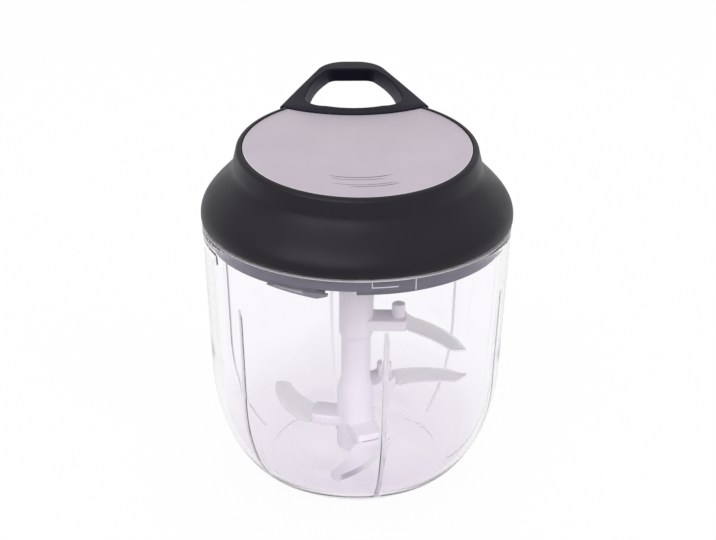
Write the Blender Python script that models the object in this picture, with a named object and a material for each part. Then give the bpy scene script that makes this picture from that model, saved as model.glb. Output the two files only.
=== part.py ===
"""Manual food chopper: a clear bowl, a four-blade shaft and a domed lid with a pull-cord drive.

The bowl's axis is +Z and it stands on Z = 0. The front is -Y, and the pull handle is at +Y.
All lengths are in metres and all angles in radians.
"""
import math

import bmesh
import bpy
from mathutils import Matrix, Vector
from mathutils.geometry import interpolate_bezier

# General fits
CLEARANCE = 0.0003
OVERRUN = 0.002
ROUND_STEPS = 56
SMALL_ROUND_STEPS = 16

# Bowl
BOWL_HEIGHT = 0.1095
BOWL_RIM_RADIUS = 0.063
BOWL_DRAFT = 0.0026
BOWL_WAIST_HEIGHT = 0.048
BOWL_FOOT_RADIUS = 0.0396
BOWL_WALL = 0.0024
BOWL_FLOOR = 0.003
BOWL_CURVE_SHARE = 0.66
BOWL_CURVE_STEPS = 7
RIB_COUNT = 6
RIB_ANGLE = math.radians(-81)
RIB_DEPTH = 0.0013
RIB_WIDTH = 0.0016
RIB_ROOT = 0.0008
RIB_DROP = 0.023
RIB_TAPER = 0.005
RIB_STEPS = 5

# Lid lock: ramps inside the bowl's rim, and hooked lugs on the lid's skirt
LOCK_COUNT = 4
LOCK_STEPS = 4
RAMP_ANGLE = math.radians(-92)
RAMP_SPAN = math.radians(24)
RAMP_DEPTH = 0.0018
RAMP_HEIGHT = 0.0011
STOP_SPAN = math.radians(2)
STOP_HEIGHT = 0.0036
LUG_ANGLE = math.radians(-127)
LUG_SPAN = math.radians(23)
LUG_LEG_SPAN = math.radians(7)
LUG_HEIGHT = 0.0019
LUG_LEAD_HEIGHT = 0.0006
TAB_DROP = 0.0009

# Pivot pin moulded into the bowl's floor
PIN_RADIUS = 0.003
PIN_HEIGHT = 0.0267
PIN_TIP = 0.001
PIN_SOCKET_DEPTH = 0.002
SHAFT_BORE_RADIUS = 0.0034

# Blade shaft
SHAFT_FLOOR_GAP = 0.0006
SHAFT_FOOT_RADIUS = 0.00785
SHAFT_FOOT_HEIGHT = 0.0275
SHAFT_WAIST_RADIUS = 0.0062
SHAFT_WAIST_START = 0.036
SHAFT_WAIST_END = 0.056
SHAFT_TOP_RADIUS = 0.0072
SHAFT_TOP_START = 0.058
SHAFT_TOP_GAP = 0.0035
SOCKET_RADIUS = 0.0052
SOCKET_DEPTH = 0.0095
DOG_RADIUS = 0.0036
DOG_SPAN = math.radians(60)
DOG_DEPTH = 0.008
ARM_WIDTH = 0.012
ARM_START = 0.0048
ARM_BELOW = 0.0009
ARM_ABOVE = 0.0039
SLOT_MARGIN = 0.0003
PEG_RADIUS = 0.00275
PEG_HEIGHT = 0.0057
PEG_SETBACK = 0.0039
WEB_WIDTH = 0.003
WEB_DROP = 0.0075

# Blades: one pressing, held at four heights and angles
BLADE_THICKNESS = 0.001
BLADE_EDGE = 0.00025
BLADE_BEVEL = 0.0018
BLADE_ROOT_WIDTH = 0.0161
BLADE_REACH_SHARE = 0.362
BLADE_SWEEP_SHARE = 0.384
BLADE_TIP_WIDTH = 0.0070
BLADE_CONVEX_SHARES = (0.495, 0.033)
BLADE_CONCAVE_SHARES = (0.38, 0.62)
TANG_WIDTH = 0.008
TANG_LENGTH = 0.0085
BLADE_STEPS = 7
LOW_ARM_REACH = 0.019
TOP_ARM_REACH = 0.0217
TOP_BLADE_HEIGHT = 0.0615
MIDDLE_BLADE_HEIGHT = 0.0288
LOW_BLADE_HEIGHT = 0.0152
BOTTOM_BLADE_HEIGHT = 0.014
TOP_BLADE_ANGLE = math.radians(-2.2)
MIDDLE_BLADE_ANGLE = math.radians(36.5)
LOW_BLADE_ANGLE = math.radians(166)
BOTTOM_BLADE_ANGLE = math.radians(-70)
MIDDLE_BLADE_RISE = math.radians(12.4)

# Lid housing: a dome whose top plane leans down towards the front
LID_HEIGHT = 0.0311
LID_TILT = math.radians(4.36)
LID_EDGE_INSET = 0.0017
LID_EDGE_HEIGHT = 0.0022
LID_OVERHANG = 0.0004
LID_SHOULDER_HEIGHT = 0.0035
LID_NECK_INSET = 0.0132
LID_NECK_DRAFT = 0.0012
LID_NECK_HEIGHT = 0.024
LID_TOP_ROUND = 0.002
LID_ROUND_STEPS = 3
LID_CURVE_SHARE = 1.15
LID_CURVE_STEPS = 6
LID_WALL = 0.0022
LID_ROOF = 0.0022
AXLE_BOSS_RADIUS = 0.0085
AXLE_BOSS_DROP = 0.0021
AXLE_SEAT_DEPTH = 0.0019
POST_RADIUS = 0.004
POST_INSET = 0.0102
POST_COUNT = 4

# Top plate, let into the lid's top
PLATE_MARGIN = 0.004
PLATE_THICKNESS = 0.001
PLATE_DROP = 0.0002
GRIP_CENTRE = 0.004
GRIP_INSETS = (0.0202, 0.0167, 0.0129)
GRIP_HALF_SPANS = (math.radians(28), math.radians(29), math.radians(27))
GRIP_WIDTH = 0.0008
GRIP_HEIGHT = 0.0003

# Notch in the lid's rear, where the handle rests
NOTCH_CENTRE = 0.090
NOTCH_RADIUS = 0.060
NOTCH_DEPTH = 0.0063
NOTCH_SLOPE_SHARE = 0.21
NOTCH_STEPS = 80

# Lid base: the inner cover with its skirt
SKIRT_DROP = 0.0053
SKIRT_RISE = 0.0025
SKIRT_WALL = 0.002
BASE_FLOOR = 0.002
SEAL_THICKNESS = 0.0017
SEAL_LIP = 0.0006
SEAL_HEIGHT = 0.0049

# Screws that hold the lid base to the housing
SCREW_RADIUS = 0.0013
SCREW_LENGTH = 0.0115
SCREW_HEAD_RADIUS = 0.0028
SCREW_HEAD_HEIGHT = 0.0016
CROSS_LENGTH = 0.0034
CROSS_WIDTH = 0.0007
CROSS_DEPTH = 0.0008

# Drive spindle, its bush and its clip
SPINDLE_RADIUS = 0.005
SPINDLE_COLLAR_RADIUS = 0.008
SPINDLE_COLLAR_HEIGHT = 0.002
SPINDLE_HEX_RADIUS = 0.005
SPINDLE_HEX_HEIGHT = 0.0055
SPINDLE_GROOVE = 0.0006
KEY_CORE_RADIUS = 0.0031
KEY_RADIUS = 0.0048
KEY_SPAN = math.radians(36)
KEY_FLOOR_GAP = 0.0007
BUSH_WALL = 0.0022
BUSH_FLANGE_WIDTH = 0.0025
BUSH_FLANGE_HEIGHT = 0.0015
BUSH_DROP = 0.0012
CLIP_HEIGHT = 0.001
CLIP_WIDTH = 0.0025
CLIP_MOUTH = math.radians(60)

# Reel, its axle and spring
DRUM_RADIUS = 0.0174
DRUM_WALL = 0.0024
FLANGE_REACH = 0.0032
FLANGE_HEIGHT = 0.0012
REEL_FLOOR = 0.00145
REEL_BOSS_RADIUS = 0.009
REEL_BOSS_WEB = 0.0015
AXLE_RADIUS = 0.004
AXLE_TAIL = 0.0026
WASHER_RADIUS = 0.008
WASHER_HEIGHT = 0.0008
COVER_HEIGHT = 0.0009
COVER_LEDGE = 0.0006
SPRING_TURNS = 5
SPRING_STRIP = 0.0005
SPRING_STEPS = 16
SPRING_MARGIN = 0.0006

# Pull cord
CORD_RADIUS = 0.0009
CORD_TURNS = 3.5
CORD_PITCH = 0.0023
CORD_STEPS = 18
CORD_DROP = 0.0086
LEAD_LEVEL_RUN = 0.0112
LEAD_SETBACK = 0.0015
LEAD_BEND = 0.0045
LEAD_STEPS = 5
EYELET_WALL = 0.0015
EYELET_BORE_MARGIN = 0.00035
EYELET_FLANGE = 0.001

# Pull handle
HANDLE_THICKNESS = 0.0058
HANDLE_CHAMFER = 0.0008
HANDLE_CORNER_INSET = 0.0002
HANDLE_BACK = 0.0877
HANDLE_WAIST_SHARE = 0.761
HANDLE_WAIST = 0.0576
HANDLE_BACK_SHARE = 0.497
HANDLE_BACK_CORNER_SHARE = 0.84
HANDLE_LEAN = math.radians(21)
HANDLE_BACK_BAR = 0.0088
HANDLE_FRONT_BAR = 0.0071
WINDOW_FRONT_SHARE = 0.658
WINDOW_BACK_SHARE = 0.401
WINDOW_FRONT_CORNER_SHARE = 0.42
WINDOW_BACK_CORNER_SHARE = 0.504
WINDOW_WAIST_SHARE = 0.565
WINDOW_WAIST = 0.0627
WINDOW_FRONT_LEAN = math.radians(8)
WINDOW_BACK_LEAN = math.radians(28)
WINDOW_SAG = 0.0023
WINDOW_DRAFT = 0.0009
BOSS_HALF_WIDTH = 0.008
BOSS_DEPTH = 0.0090
BOSS_BELOW_CORD = 0.0044
KNOT_RADIUS = 0.0022
KNOT_SETBACK = 0.0048
KNOT_MARGIN = 0.0006
PLUG_RADIUS = 0.0034
PLUG_HEIGHT = 0.0012

# Radii and heights that follow from the sizes above
FULL_TURN = 2 * math.pi
BOWL_WAIST_RADIUS = BOWL_RIM_RADIUS - BOWL_DRAFT
BLADE_REACH = BOWL_RIM_RADIUS * BLADE_REACH_SHARE
BLADE_SWEEP = BOWL_RIM_RADIUS * BLADE_SWEEP_SHARE
LID_EDGE_RADIUS = BOWL_RIM_RADIUS - LID_EDGE_INSET
LID_SHOULDER_RADIUS = BOWL_RIM_RADIUS + LID_OVERHANG
LID_NECK_RADIUS = LID_SHOULDER_RADIUS - LID_NECK_INSET
POST_CIRCLE = LID_NECK_RADIUS - POST_INSET
PLATE_RADIUS = LID_NECK_RADIUS - PLATE_MARGIN
HANDLE_CORNER_RADIUS = LID_NECK_RADIUS - HANDLE_CORNER_INSET
LID_TOP = BOWL_HEIGHT + LID_HEIGHT
LID_BOTTOM = BOWL_HEIGHT + CLEARANCE
PLATE_RECESS = PLATE_DROP + PLATE_THICKNESS + CLEARANCE
LID_CEILING = LID_TOP - PLATE_RECESS - LID_ROOF
AXLE_BOSS_BOTTOM = LID_CEILING - AXLE_BOSS_DROP
BASE_BOTTOM = BOWL_HEIGHT - SKIRT_DROP
BASE_TOP = BASE_BOTTOM + BASE_FLOOR
BOWL_MOUTH_RADIUS = BOWL_RIM_RADIUS - BOWL_WALL
SEAL_RADIUS = BOWL_MOUTH_RADIUS - CLEARANCE
SKIRT_RADIUS = SEAL_RADIUS - SEAL_THICKNESS - CLEARANCE
SHAFT_TOP = BASE_BOTTOM - SHAFT_TOP_GAP
SHAFT_BOTTOM = BOWL_FLOOR + SHAFT_FLOOR_GAP
BUSH_RADIUS = SPINDLE_RADIUS + CLEARANCE + BUSH_WALL
BUSH_TOP = BASE_TOP + CLEARANCE + BUSH_FLANGE_HEIGHT
COLLAR_BOTTOM = BUSH_TOP + CLEARANCE
COLLAR_TOP = COLLAR_BOTTOM + SPINDLE_COLLAR_HEIGHT
HEX_TOP = COLLAR_TOP + SPINDLE_HEX_HEIGHT
WASHER_TOP = AXLE_BOSS_BOTTOM - CLEARANCE
REEL_TOP = WASHER_TOP - WASHER_HEIGHT - CLEARANCE
CORD_RUN_RADIUS = DRUM_RADIUS + CLEARANCE + CORD_RADIUS
CORD_END_HEIGHT = REEL_TOP - FLANGE_HEIGHT - CLEARANCE - CORD_RADIUS
CORD_START_HEIGHT = CORD_END_HEIGHT - CORD_TURNS * CORD_PITCH
FLANGE_FLOOR = CORD_START_HEIGHT - CORD_RADIUS - CLEARANCE
REEL_BOTTOM = FLANGE_FLOOR - FLANGE_HEIGHT
CHAMBER_FLOOR = REEL_BOTTOM + REEL_FLOOR
CHAMBER_RADIUS = DRUM_RADIUS - DRUM_WALL
COVER_TOP = REEL_TOP - CLEARANCE
COVER_BOTTOM = COVER_TOP - COVER_HEIGHT
AXLE_BOTTOM = CHAMBER_FLOOR - AXLE_TAIL
EYELET_FRONT = NOTCH_CENTRE - NOTCH_RADIUS - LID_WALL - CLEARANCE


def clear_scene():
    for old in list(bpy.data.objects):
        bpy.data.objects.remove(old, do_unlink=True)


# Materials

def make_material(name, color, roughness, metallic=0.0, alpha=1.0, transmission=0.0):
    material = bpy.data.materials.new(name)
    material.use_nodes = True
    shader = material.node_tree.nodes["Principled BSDF"]
    shader.inputs["Base Color"].default_value = (*color, 1.0)
    shader.inputs["Roughness"].default_value = roughness
    shader.inputs["Metallic"].default_value = metallic
    shader.inputs["Alpha"].default_value = alpha
    shader.inputs["Transmission Weight"].default_value = transmission
    material.diffuse_color = (*color, alpha)
    return material


def make_materials():
    return {
        "clear": make_material("clear_plastic", (0.93, 0.92, 0.95), 0.05, alpha=0.35, transmission=0.9),
        "black": make_material("black_plastic", (0.022, 0.022, 0.026), 0.5),
        "inner": make_material("dark_grey_plastic", (0.09, 0.09, 0.11), 0.45),
        "white": make_material("white_plastic", (0.76, 0.73, 0.79), 0.4),
        "plate": make_material("brushed_plate", (0.62, 0.58, 0.64), 0.38, metallic=0.9),
        "steel": make_material("blade_steel", (0.62, 0.61, 0.64), 0.25, metallic=1.0),
        "seal": make_material("seal_rubber", (0.11, 0.11, 0.14), 0.6),
        "cord": make_material("cord_fibre", (0.80, 0.79, 0.76), 0.8),
        "spring": make_material("spring_steel", (0.35, 0.36, 0.39), 0.3, metallic=1.0),
    }


# Outlines, as lists of points

def arc(centre, radius, start, end, steps):
    points = []
    for i in range(steps + 1):
        angle = start + (end - start) * i / steps
        points.append((centre[0] + radius * math.cos(angle), centre[1] + radius * math.sin(angle)))
    return points


def circle(radius, steps, centre=(0, 0)):
    return arc(centre, radius, 0, FULL_TURN, steps)[:-1]


def arc_through(first, middle, last, steps):
    """Return an arc's points from first to last by way of middle."""
    a, b, c = Vector(first), Vector(middle), Vector(last)
    ab, bc = b - a, c - b
    turn = ab.cross(bc)
    mid_ab, mid_bc = (a + b) / 2, (b + c) / 2
    along = (mid_bc - mid_ab).dot(bc) / turn
    centre = mid_ab + Vector((-ab.y, ab.x)) * along
    start = math.atan2(a.y - centre.y, a.x - centre.x)
    end = math.atan2(c.y - centre.y, c.x - centre.x)
    if turn > 0 and end < start:
        end += FULL_TURN
    if turn < 0 and end > start:
        end -= FULL_TURN
    return arc(centre, (a - centre).length, start, end, steps)


def ring_sector(inner, outer, start, span, steps):
    far = arc((0, 0), outer, start, start + span, steps)
    near = arc((0, 0), inner, start + span, start, steps)
    return far + near


def lock_angles(first):
    return [first + FULL_TURN * i / LOCK_COUNT for i in range(LOCK_COUNT)]


def rectangle(x_low, x_high, y_low, y_high):
    return [(x_low, y_low), (x_high, y_low), (x_high, y_high), (x_low, y_high)]


def turn_points(points, angle):
    cos, sin = math.cos(angle), math.sin(angle)
    return [(x * cos - y * sin, x * sin + y * cos) for x, y in points]


def inset(points, distance):
    """Move each point of a closed outline inwards, along the mean of its edges' normals."""
    area = sum(a[0] * b[1] - b[0] * a[1] for a, b in zip(points, points[1:] + points[:1]))
    side = 1 if area > 0 else -1
    moved = []
    for i, point in enumerate(points):
        before = (Vector(point) - Vector(points[i - 1])).normalized()
        after = (Vector(points[(i + 1) % len(points)]) - Vector(point)).normalized()
        normal_before = Vector((-before.y, before.x)) * side
        normal_after = Vector((-after.y, after.x)) * side
        bisector = (normal_before + normal_after).normalized()
        step = distance / bisector.dot(normal_after)
        moved.append((point[0] + bisector.x * step, point[1] + bisector.y * step))
    return moved


# Meshes

def level(value, x, y):
    return value(x, y) if callable(value) else value


def add_layers(bm, layers):
    """Join outlines of equal length, each a list of 3-D points, and cap the first and last."""
    rings = [[bm.verts.new(point) for point in layer] for layer in layers]
    count = len(rings[0])
    for low, high in zip(rings, rings[1:]):
        for i in range(count):
            j = (i + 1) % count
            bm.faces.new((low[i], low[j], high[j], high[i]))
    bm.faces.new(list(reversed(rings[0])))
    bm.faces.new(rings[-1])


def add_prism(bm, outline, low, high, chamfer=0):
    """Add a prism from low to high; each may be a height or a function of x and y."""
    if chamfer:
        small = inset(outline, chamfer)
        layers = [
            [(x, y, level(low, x, y)) for x, y in small],
            [(x, y, level(low, x, y) + chamfer) for x, y in outline],
            [(x, y, level(high, x, y) - chamfer) for x, y in outline],
            [(x, y, level(high, x, y)) for x, y in small],
        ]
    else:
        layers = [[(x, y, level(end, x, y)) for x, y in outline] for end in (low, high)]
    add_layers(bm, layers)


def add_turned(bm, profile, steps, lean=None):
    """Add a turned body. A profile whose ends lie on the axis is open, and any other is a loop."""
    rings = []
    for radius, height in profile:
        if radius == 0:
            rings.append([bm.verts.new((0, 0, height))])
            continue
        ring = []
        for x, y in circle(radius, steps):
            z = height + (lean(height, y) if lean else 0)
            ring.append(bm.verts.new((x, y, z)))
        rings.append(ring)
    on_axis = profile[0][0] == 0
    pairs = list(zip(rings, rings[1:]))
    if not on_axis:
        pairs.append((rings[-1], rings[0]))
    for low, high in pairs:
        for i in range(steps):
            j = (i + 1) % steps
            corners = [low[i % len(low)], low[j % len(low)], high[j % len(high)], high[i % len(high)]]
            unique = list(dict.fromkeys(corners))
            if len(unique) > 2:
                bm.faces.new(unique)


def finish_mesh(name, bm):
    bmesh.ops.recalc_face_normals(bm, faces=bm.faces)
    mesh = bpy.data.meshes.new(name)
    bm.to_mesh(mesh)
    bm.free()
    mesh.shade_smooth()
    mesh.set_sharp_from_angle(angle=math.radians(32))
    return mesh


def place(name, data, material=None, parent=None, location=(0, 0, 0), turn=0):
    item = bpy.data.objects.new(name, data)
    bpy.context.scene.collection.objects.link(item)
    item.location = location
    item.rotation_euler = (0, 0, turn)
    item.parent = parent
    if material:
        item.data.materials.append(material)
    return item


def prisms(name, shapes, material=None, parent=None, location=(0, 0, 0), turn=0):
    """Place one object made of prisms, each given as outline, low, high and optional chamfer."""
    bm = bmesh.new()
    for shape in shapes:
        add_prism(bm, *shape)
    return place(name, finish_mesh(name, bm), material, parent, location, turn)


def turned(name, profile, material=None, parent=None, steps=ROUND_STEPS, lean=None, location=(0, 0, 0)):
    bm = bmesh.new()
    add_turned(bm, profile, steps, lean)
    return place(name, finish_mesh(name, bm), material, parent, location)


def frame(name, parent=None, location=(0, 0, 0), rotation=(0, 0, 0)):
    empty = bpy.data.objects.new(name, None)
    bpy.context.scene.collection.objects.link(empty)
    empty.location = location
    empty.rotation_euler = rotation
    empty.parent = parent
    return empty


def combine(target, tool, operation):
    """Shape one object with another, which becomes a hidden guide."""
    tool.hide_render = True
    tool.display_type = "WIRE"
    modifier = target.modifiers.new(tool.name, "BOOLEAN")
    modifier.operation = operation
    modifier.solver = "EXACT"
    modifier.object = tool


def cut(target, tool):
    combine(target, tool, "DIFFERENCE")


def join(target, tool):
    combine(target, tool, "UNION")


# Bowl

def round_share(share):
    """Return how far the bowl's rounded bottom has widened at a share of its height."""
    return (1 - (1 - share) ** 2) ** BOWL_CURVE_SHARE


def bowl_outer_radius(height):
    if height >= BOWL_WAIST_HEIGHT:
        share = (height - BOWL_WAIST_HEIGHT) / (BOWL_HEIGHT - BOWL_WAIST_HEIGHT)
        return BOWL_WAIST_RADIUS + (BOWL_RIM_RADIUS - BOWL_WAIST_RADIUS) * share
    share = height / BOWL_WAIST_HEIGHT
    return BOWL_FOOT_RADIUS + (BOWL_WAIST_RADIUS - BOWL_FOOT_RADIUS) * round_share(share)


def bowl_inner_radius(height):
    if height >= BOWL_WAIST_HEIGHT:
        return bowl_outer_radius(height) - BOWL_WALL
    share = (height - BOWL_FLOOR) / (BOWL_WAIST_HEIGHT - BOWL_FLOOR)
    reach = BOWL_WAIST_RADIUS - BOWL_WALL - BOWL_FOOT_RADIUS
    return BOWL_FOOT_RADIUS + reach * round_share(max(share, 0))


def spaced(low, high, steps):
    """Return heights from low to high that lie closer together near low."""
    return [low + (high - low) * (1 - math.cos(math.pi / 2 * i / steps)) for i in range(steps + 1)]


def make_bowl(materials, body):
    outer = [(bowl_outer_radius(z), z) for z in spaced(0, BOWL_WAIST_HEIGHT, BOWL_CURVE_STEPS)]
    inner = [(bowl_inner_radius(z), z) for z in spaced(BOWL_FLOOR, BOWL_WAIST_HEIGHT, BOWL_CURVE_STEPS)]
    rim = [(BOWL_RIM_RADIUS, BOWL_HEIGHT), (BOWL_MOUTH_RADIUS, BOWL_HEIGHT)]
    profile = [(0, 0)] + outer + rim + inner[::-1] + [(0, BOWL_FLOOR)]
    bowl = turned("bowl", profile, materials["clear"], body)
    join(bowl, make_ribs(body))
    join(bowl, make_ramps(body))
    join(bowl, make_stops(body))
    pin_hole = (circle(PIN_RADIUS + CLEARANCE, SMALL_ROUND_STEPS), BOWL_FLOOR - PIN_SOCKET_DEPTH,
                BOWL_FLOOR + OVERRUN)
    cut(bowl, prisms("bowl_pin_hole", [pin_hole], parent=body))
    return bowl


def make_ribs(body):
    """Upright ribs that follow the wall's inside from below the lid down to the floor."""
    top = BOWL_HEIGHT - RIB_DROP
    heights = spaced(BOWL_FLOOR, top - RIB_TAPER, RIB_STEPS)
    wall = [(bowl_inner_radius(z) + RIB_ROOT, z) for z in heights]
    face = [(bowl_inner_radius(z) - RIB_DEPTH, z) for z in heights]
    wall[0] = (BOWL_FOOT_RADIUS, BOWL_FLOOR - RIB_ROOT)
    face[0] = (BOWL_FOOT_RADIUS - RIB_DEPTH, BOWL_FLOOR - RIB_ROOT)
    wall.append((bowl_inner_radius(top) + RIB_ROOT, top))
    side = wall + face[::-1]
    bm = bmesh.new()
    for i in range(RIB_COUNT):
        angle = RIB_ANGLE + FULL_TURN * i / RIB_COUNT
        out = Vector((math.cos(angle), math.sin(angle), 0))
        across = Vector((-out.y, out.x, 0)) * RIB_WIDTH / 2
        layers = []
        for offset in (-across, across):
            layers.append([out * radius + offset + Vector((0, 0, z)) for radius, z in side])
        add_layers(bm, layers)
    return place("bowl_ribs", finish_mesh("bowl_ribs", bm), parent=body)


def make_ramps(body):
    """Ramps under the rim that the lid's lugs turn under."""
    outer = BOWL_MOUTH_RADIUS + BOWL_WALL / 2
    inner = SKIRT_RADIUS + CLEARANCE
    top = BASE_BOTTOM - CLEARANCE
    shapes = []
    for start in lock_angles(RAMP_ANGLE):
        ramp = ring_sector(inner, outer, start, RAMP_SPAN + STOP_SPAN, LOCK_STEPS)
        shapes.append((ramp, top - RAMP_HEIGHT, top))
    return prisms("bowl_ramps", shapes, parent=body)


def make_stops(body):
    """Stops that hang from the ramps' ends and end the lid's turn."""
    outer = BOWL_MOUTH_RADIUS + BOWL_WALL / 2
    inner = SKIRT_RADIUS + 2 * CLEARANCE
    top = BASE_BOTTOM - CLEARANCE
    shapes = []
    for start in lock_angles(RAMP_ANGLE + RAMP_SPAN):
        stop = ring_sector(inner, outer, start, STOP_SPAN * 0.9, LOCK_STEPS // 4)
        shapes.append((stop, top - STOP_HEIGHT, top - RAMP_HEIGHT / 2))
    return prisms("bowl_stops", shapes, parent=body)


def make_pivot_pin(materials, body):
    bottom = BOWL_FLOOR - PIN_SOCKET_DEPTH + CLEARANCE
    top = bottom + PIN_HEIGHT
    profile = [(0, bottom), (PIN_RADIUS, bottom), (PIN_RADIUS, top - PIN_TIP),
               (PIN_RADIUS - PIN_TIP, top), (0, top)]
    turned("bowl_pivot_pin", profile, materials["steel"], body, SMALL_ROUND_STEPS)


# Blade shaft

def blade_places():
    """Return each blade's name, angle, height, arm reach, rise angle, and whether its arm has a peg."""
    return [
        ("blade_top", TOP_BLADE_ANGLE, TOP_BLADE_HEIGHT, TOP_ARM_REACH, 0, True),
        ("blade_middle", MIDDLE_BLADE_ANGLE, MIDDLE_BLADE_HEIGHT, LOW_ARM_REACH, MIDDLE_BLADE_RISE, True),
        ("blade_low", LOW_BLADE_ANGLE, LOW_BLADE_HEIGHT, LOW_ARM_REACH, 0, False),
        ("blade_bottom", BOTTOM_BLADE_ANGLE, BOTTOM_BLADE_HEIGHT, LOW_ARM_REACH, 0, False),
    ]


def make_shaft(materials, body):
    bore_top = BOWL_FLOOR - PIN_SOCKET_DEPTH + PIN_HEIGHT + 2 * CLEARANCE
    socket_floor = SHAFT_TOP - SOCKET_DEPTH
    profile = [
        (0, bore_top), (SHAFT_BORE_RADIUS, bore_top), (SHAFT_BORE_RADIUS, SHAFT_BOTTOM),
        (SHAFT_FOOT_RADIUS, SHAFT_BOTTOM), (SHAFT_FOOT_RADIUS, SHAFT_BOTTOM + SHAFT_FOOT_HEIGHT),
        (SHAFT_WAIST_RADIUS, SHAFT_WAIST_START), (SHAFT_WAIST_RADIUS, SHAFT_WAIST_END),
        (SHAFT_TOP_RADIUS, SHAFT_TOP_START), (SHAFT_TOP_RADIUS, SHAFT_TOP),
        (SOCKET_RADIUS, SHAFT_TOP), (SOCKET_RADIUS, socket_floor), (0, socket_floor),
    ]
    shaft = turned("blade_shaft", profile, materials["white"], body, SMALL_ROUND_STEPS * 2)
    arms, slots, pegs, webs = [], [], [], []
    half = ARM_WIDTH / 2
    slot_half = TANG_WIDTH / 2 + SLOT_MARGIN
    for _, angle, height, reach, _, has_peg in blade_places():
        bottom, top = height - ARM_BELOW, height + ARM_ABOVE
        arm = turn_points(rectangle(ARM_START, reach - CLEARANCE, -half, half), angle)
        arms.append((arm, bottom, top))
        slot = rectangle(reach - TANG_LENGTH - SLOT_MARGIN, reach + OVERRUN, -slot_half, slot_half)
        slots.append((turn_points(slot, angle), height - SLOT_MARGIN, height + BLADE_THICKNESS + SLOT_MARGIN))
        if has_peg:
            centre = turn_points([(reach - PEG_SETBACK, 0)], angle)[0]
            pegs.append((circle(PEG_RADIUS, SMALL_ROUND_STEPS, centre), top - ARM_ABOVE / 2, top + PEG_HEIGHT))
        else:
            webs.append(make_web(angle, bottom, reach))
    join(shaft, prisms("shaft_arms", arms, parent=body))
    join(shaft, prisms("shaft_pegs", pegs, parent=body))
    join(shaft, prisms("shaft_webs", webs, parent=body))
    dogs = []
    for side in (0, math.pi):
        dog = ring_sector(DOG_RADIUS, (SOCKET_RADIUS + SHAFT_TOP_RADIUS) / 2, side - DOG_SPAN / 2, DOG_SPAN,
                          LOCK_STEPS)
        dogs.append((dog, socket_floor - OVERRUN, socket_floor + DOG_DEPTH))
    join(shaft, prisms("shaft_dogs", dogs, parent=body))
    cut(shaft, prisms("shaft_slots", slots, parent=body))
    return shaft


def make_web(angle, arm_bottom, reach):
    """Return the sloping web that stiffens a low arm from below."""
    half = WEB_WIDTH / 2
    outer = reach - TANG_LENGTH
    outline = turn_points(rectangle(ARM_START, outer, -half, half), angle)

    def underside(x, y):
        share = (math.hypot(x, y) - ARM_START) / (outer - ARM_START)
        return arm_bottom - WEB_DROP * (1 - min(max(share, 0), 1))

    return outline, underside, arm_bottom + ARM_BELOW / 2


def blade_edges():
    """Return the blade's convex edge, from root to tip, and its concave edge, from tip to root."""
    half = BLADE_ROOT_WIDTH / 2
    tip_x, tip_y = BLADE_REACH, -BLADE_SWEEP
    convex_share, convex_drop = BLADE_CONVEX_SHARES
    bulge = (tip_x * convex_share, tip_y * convex_drop)
    convex = arc_through((0, half), bulge, (tip_x, tip_y), BLADE_STEPS)
    heel_x = tip_x - BLADE_TIP_WIDTH
    concave_share, concave_drop = BLADE_CONCAVE_SHARES
    hollow = (tip_x * concave_share, tip_y * concave_drop)
    concave = arc_through((heel_x, tip_y), hollow, (0, -half), BLADE_STEPS)
    nose = [((tip_x + heel_x) / 2 + BLADE_TIP_WIDTH / 4, tip_y - BLADE_TIP_WIDTH / 5),
            ((tip_x + heel_x) / 2 - BLADE_TIP_WIDTH / 4, tip_y - BLADE_TIP_WIDTH / 5)]
    return convex, nose + concave


def blade_mesh(rise):
    """Build the blade about its root; its convex edge is ground to a bevel."""
    convex, back = blade_edges()
    half = TANG_WIDTH / 2
    tang = [(0, -half), (-TANG_LENGTH, -half), (-TANG_LENGTH, half), (0, half)]
    outline = convex + back + tang
    shrunk = inset(outline, BLADE_BEVEL)
    ground = [shrunk[i] if 0 < i < len(convex) - 1 else point for i, point in enumerate(outline)]
    slope = math.tan(rise)
    layers = []
    for points, z in ((outline, 0), (outline, BLADE_EDGE), (ground, BLADE_THICKNESS)):
        layers.append([(x, y, z + max(x, 0) * slope) for x, y in points])
    bm = bmesh.new()
    add_layers(bm, layers)
    return finish_mesh("blade", bm)


def make_blades(materials, body):
    for name, angle, height, reach, rise, _ in blade_places():
        x, y = turn_points([(reach, 0)], angle)[0]
        place(name, blade_mesh(rise), materials["steel"], body, (x, y, height), angle)


# Lid

def lid_lean(height, y):
    """Return how far the dome's leaning top raises a point at this height and depth."""
    share = (height - BOWL_HEIGHT) / LID_HEIGHT
    return y * math.tan(LID_TILT) * min(max(share, 0), 1)


def dome_radius(height, shoulder, neck):
    share = (height - LID_SHOULDER_HEIGHT) / (LID_NECK_HEIGHT - LID_SHOULDER_HEIGHT)
    share = min(max(share, 0), 1) ** LID_CURVE_SHARE
    return shoulder - (shoulder - neck) * share * share * (3 - 2 * share)


def dome_profile(shoulder, neck, shift):
    """Return the dome's flank from shoulder to neck; shift lowers the curve for the inside."""
    points = []
    for i in range(LID_CURVE_STEPS + 1):
        height = LID_SHOULDER_HEIGHT + (LID_NECK_HEIGHT - LID_SHOULDER_HEIGHT) * i / LID_CURVE_STEPS
        points.append((dome_radius(height, shoulder, neck), BOWL_HEIGHT + height - shift))
    return points


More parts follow.
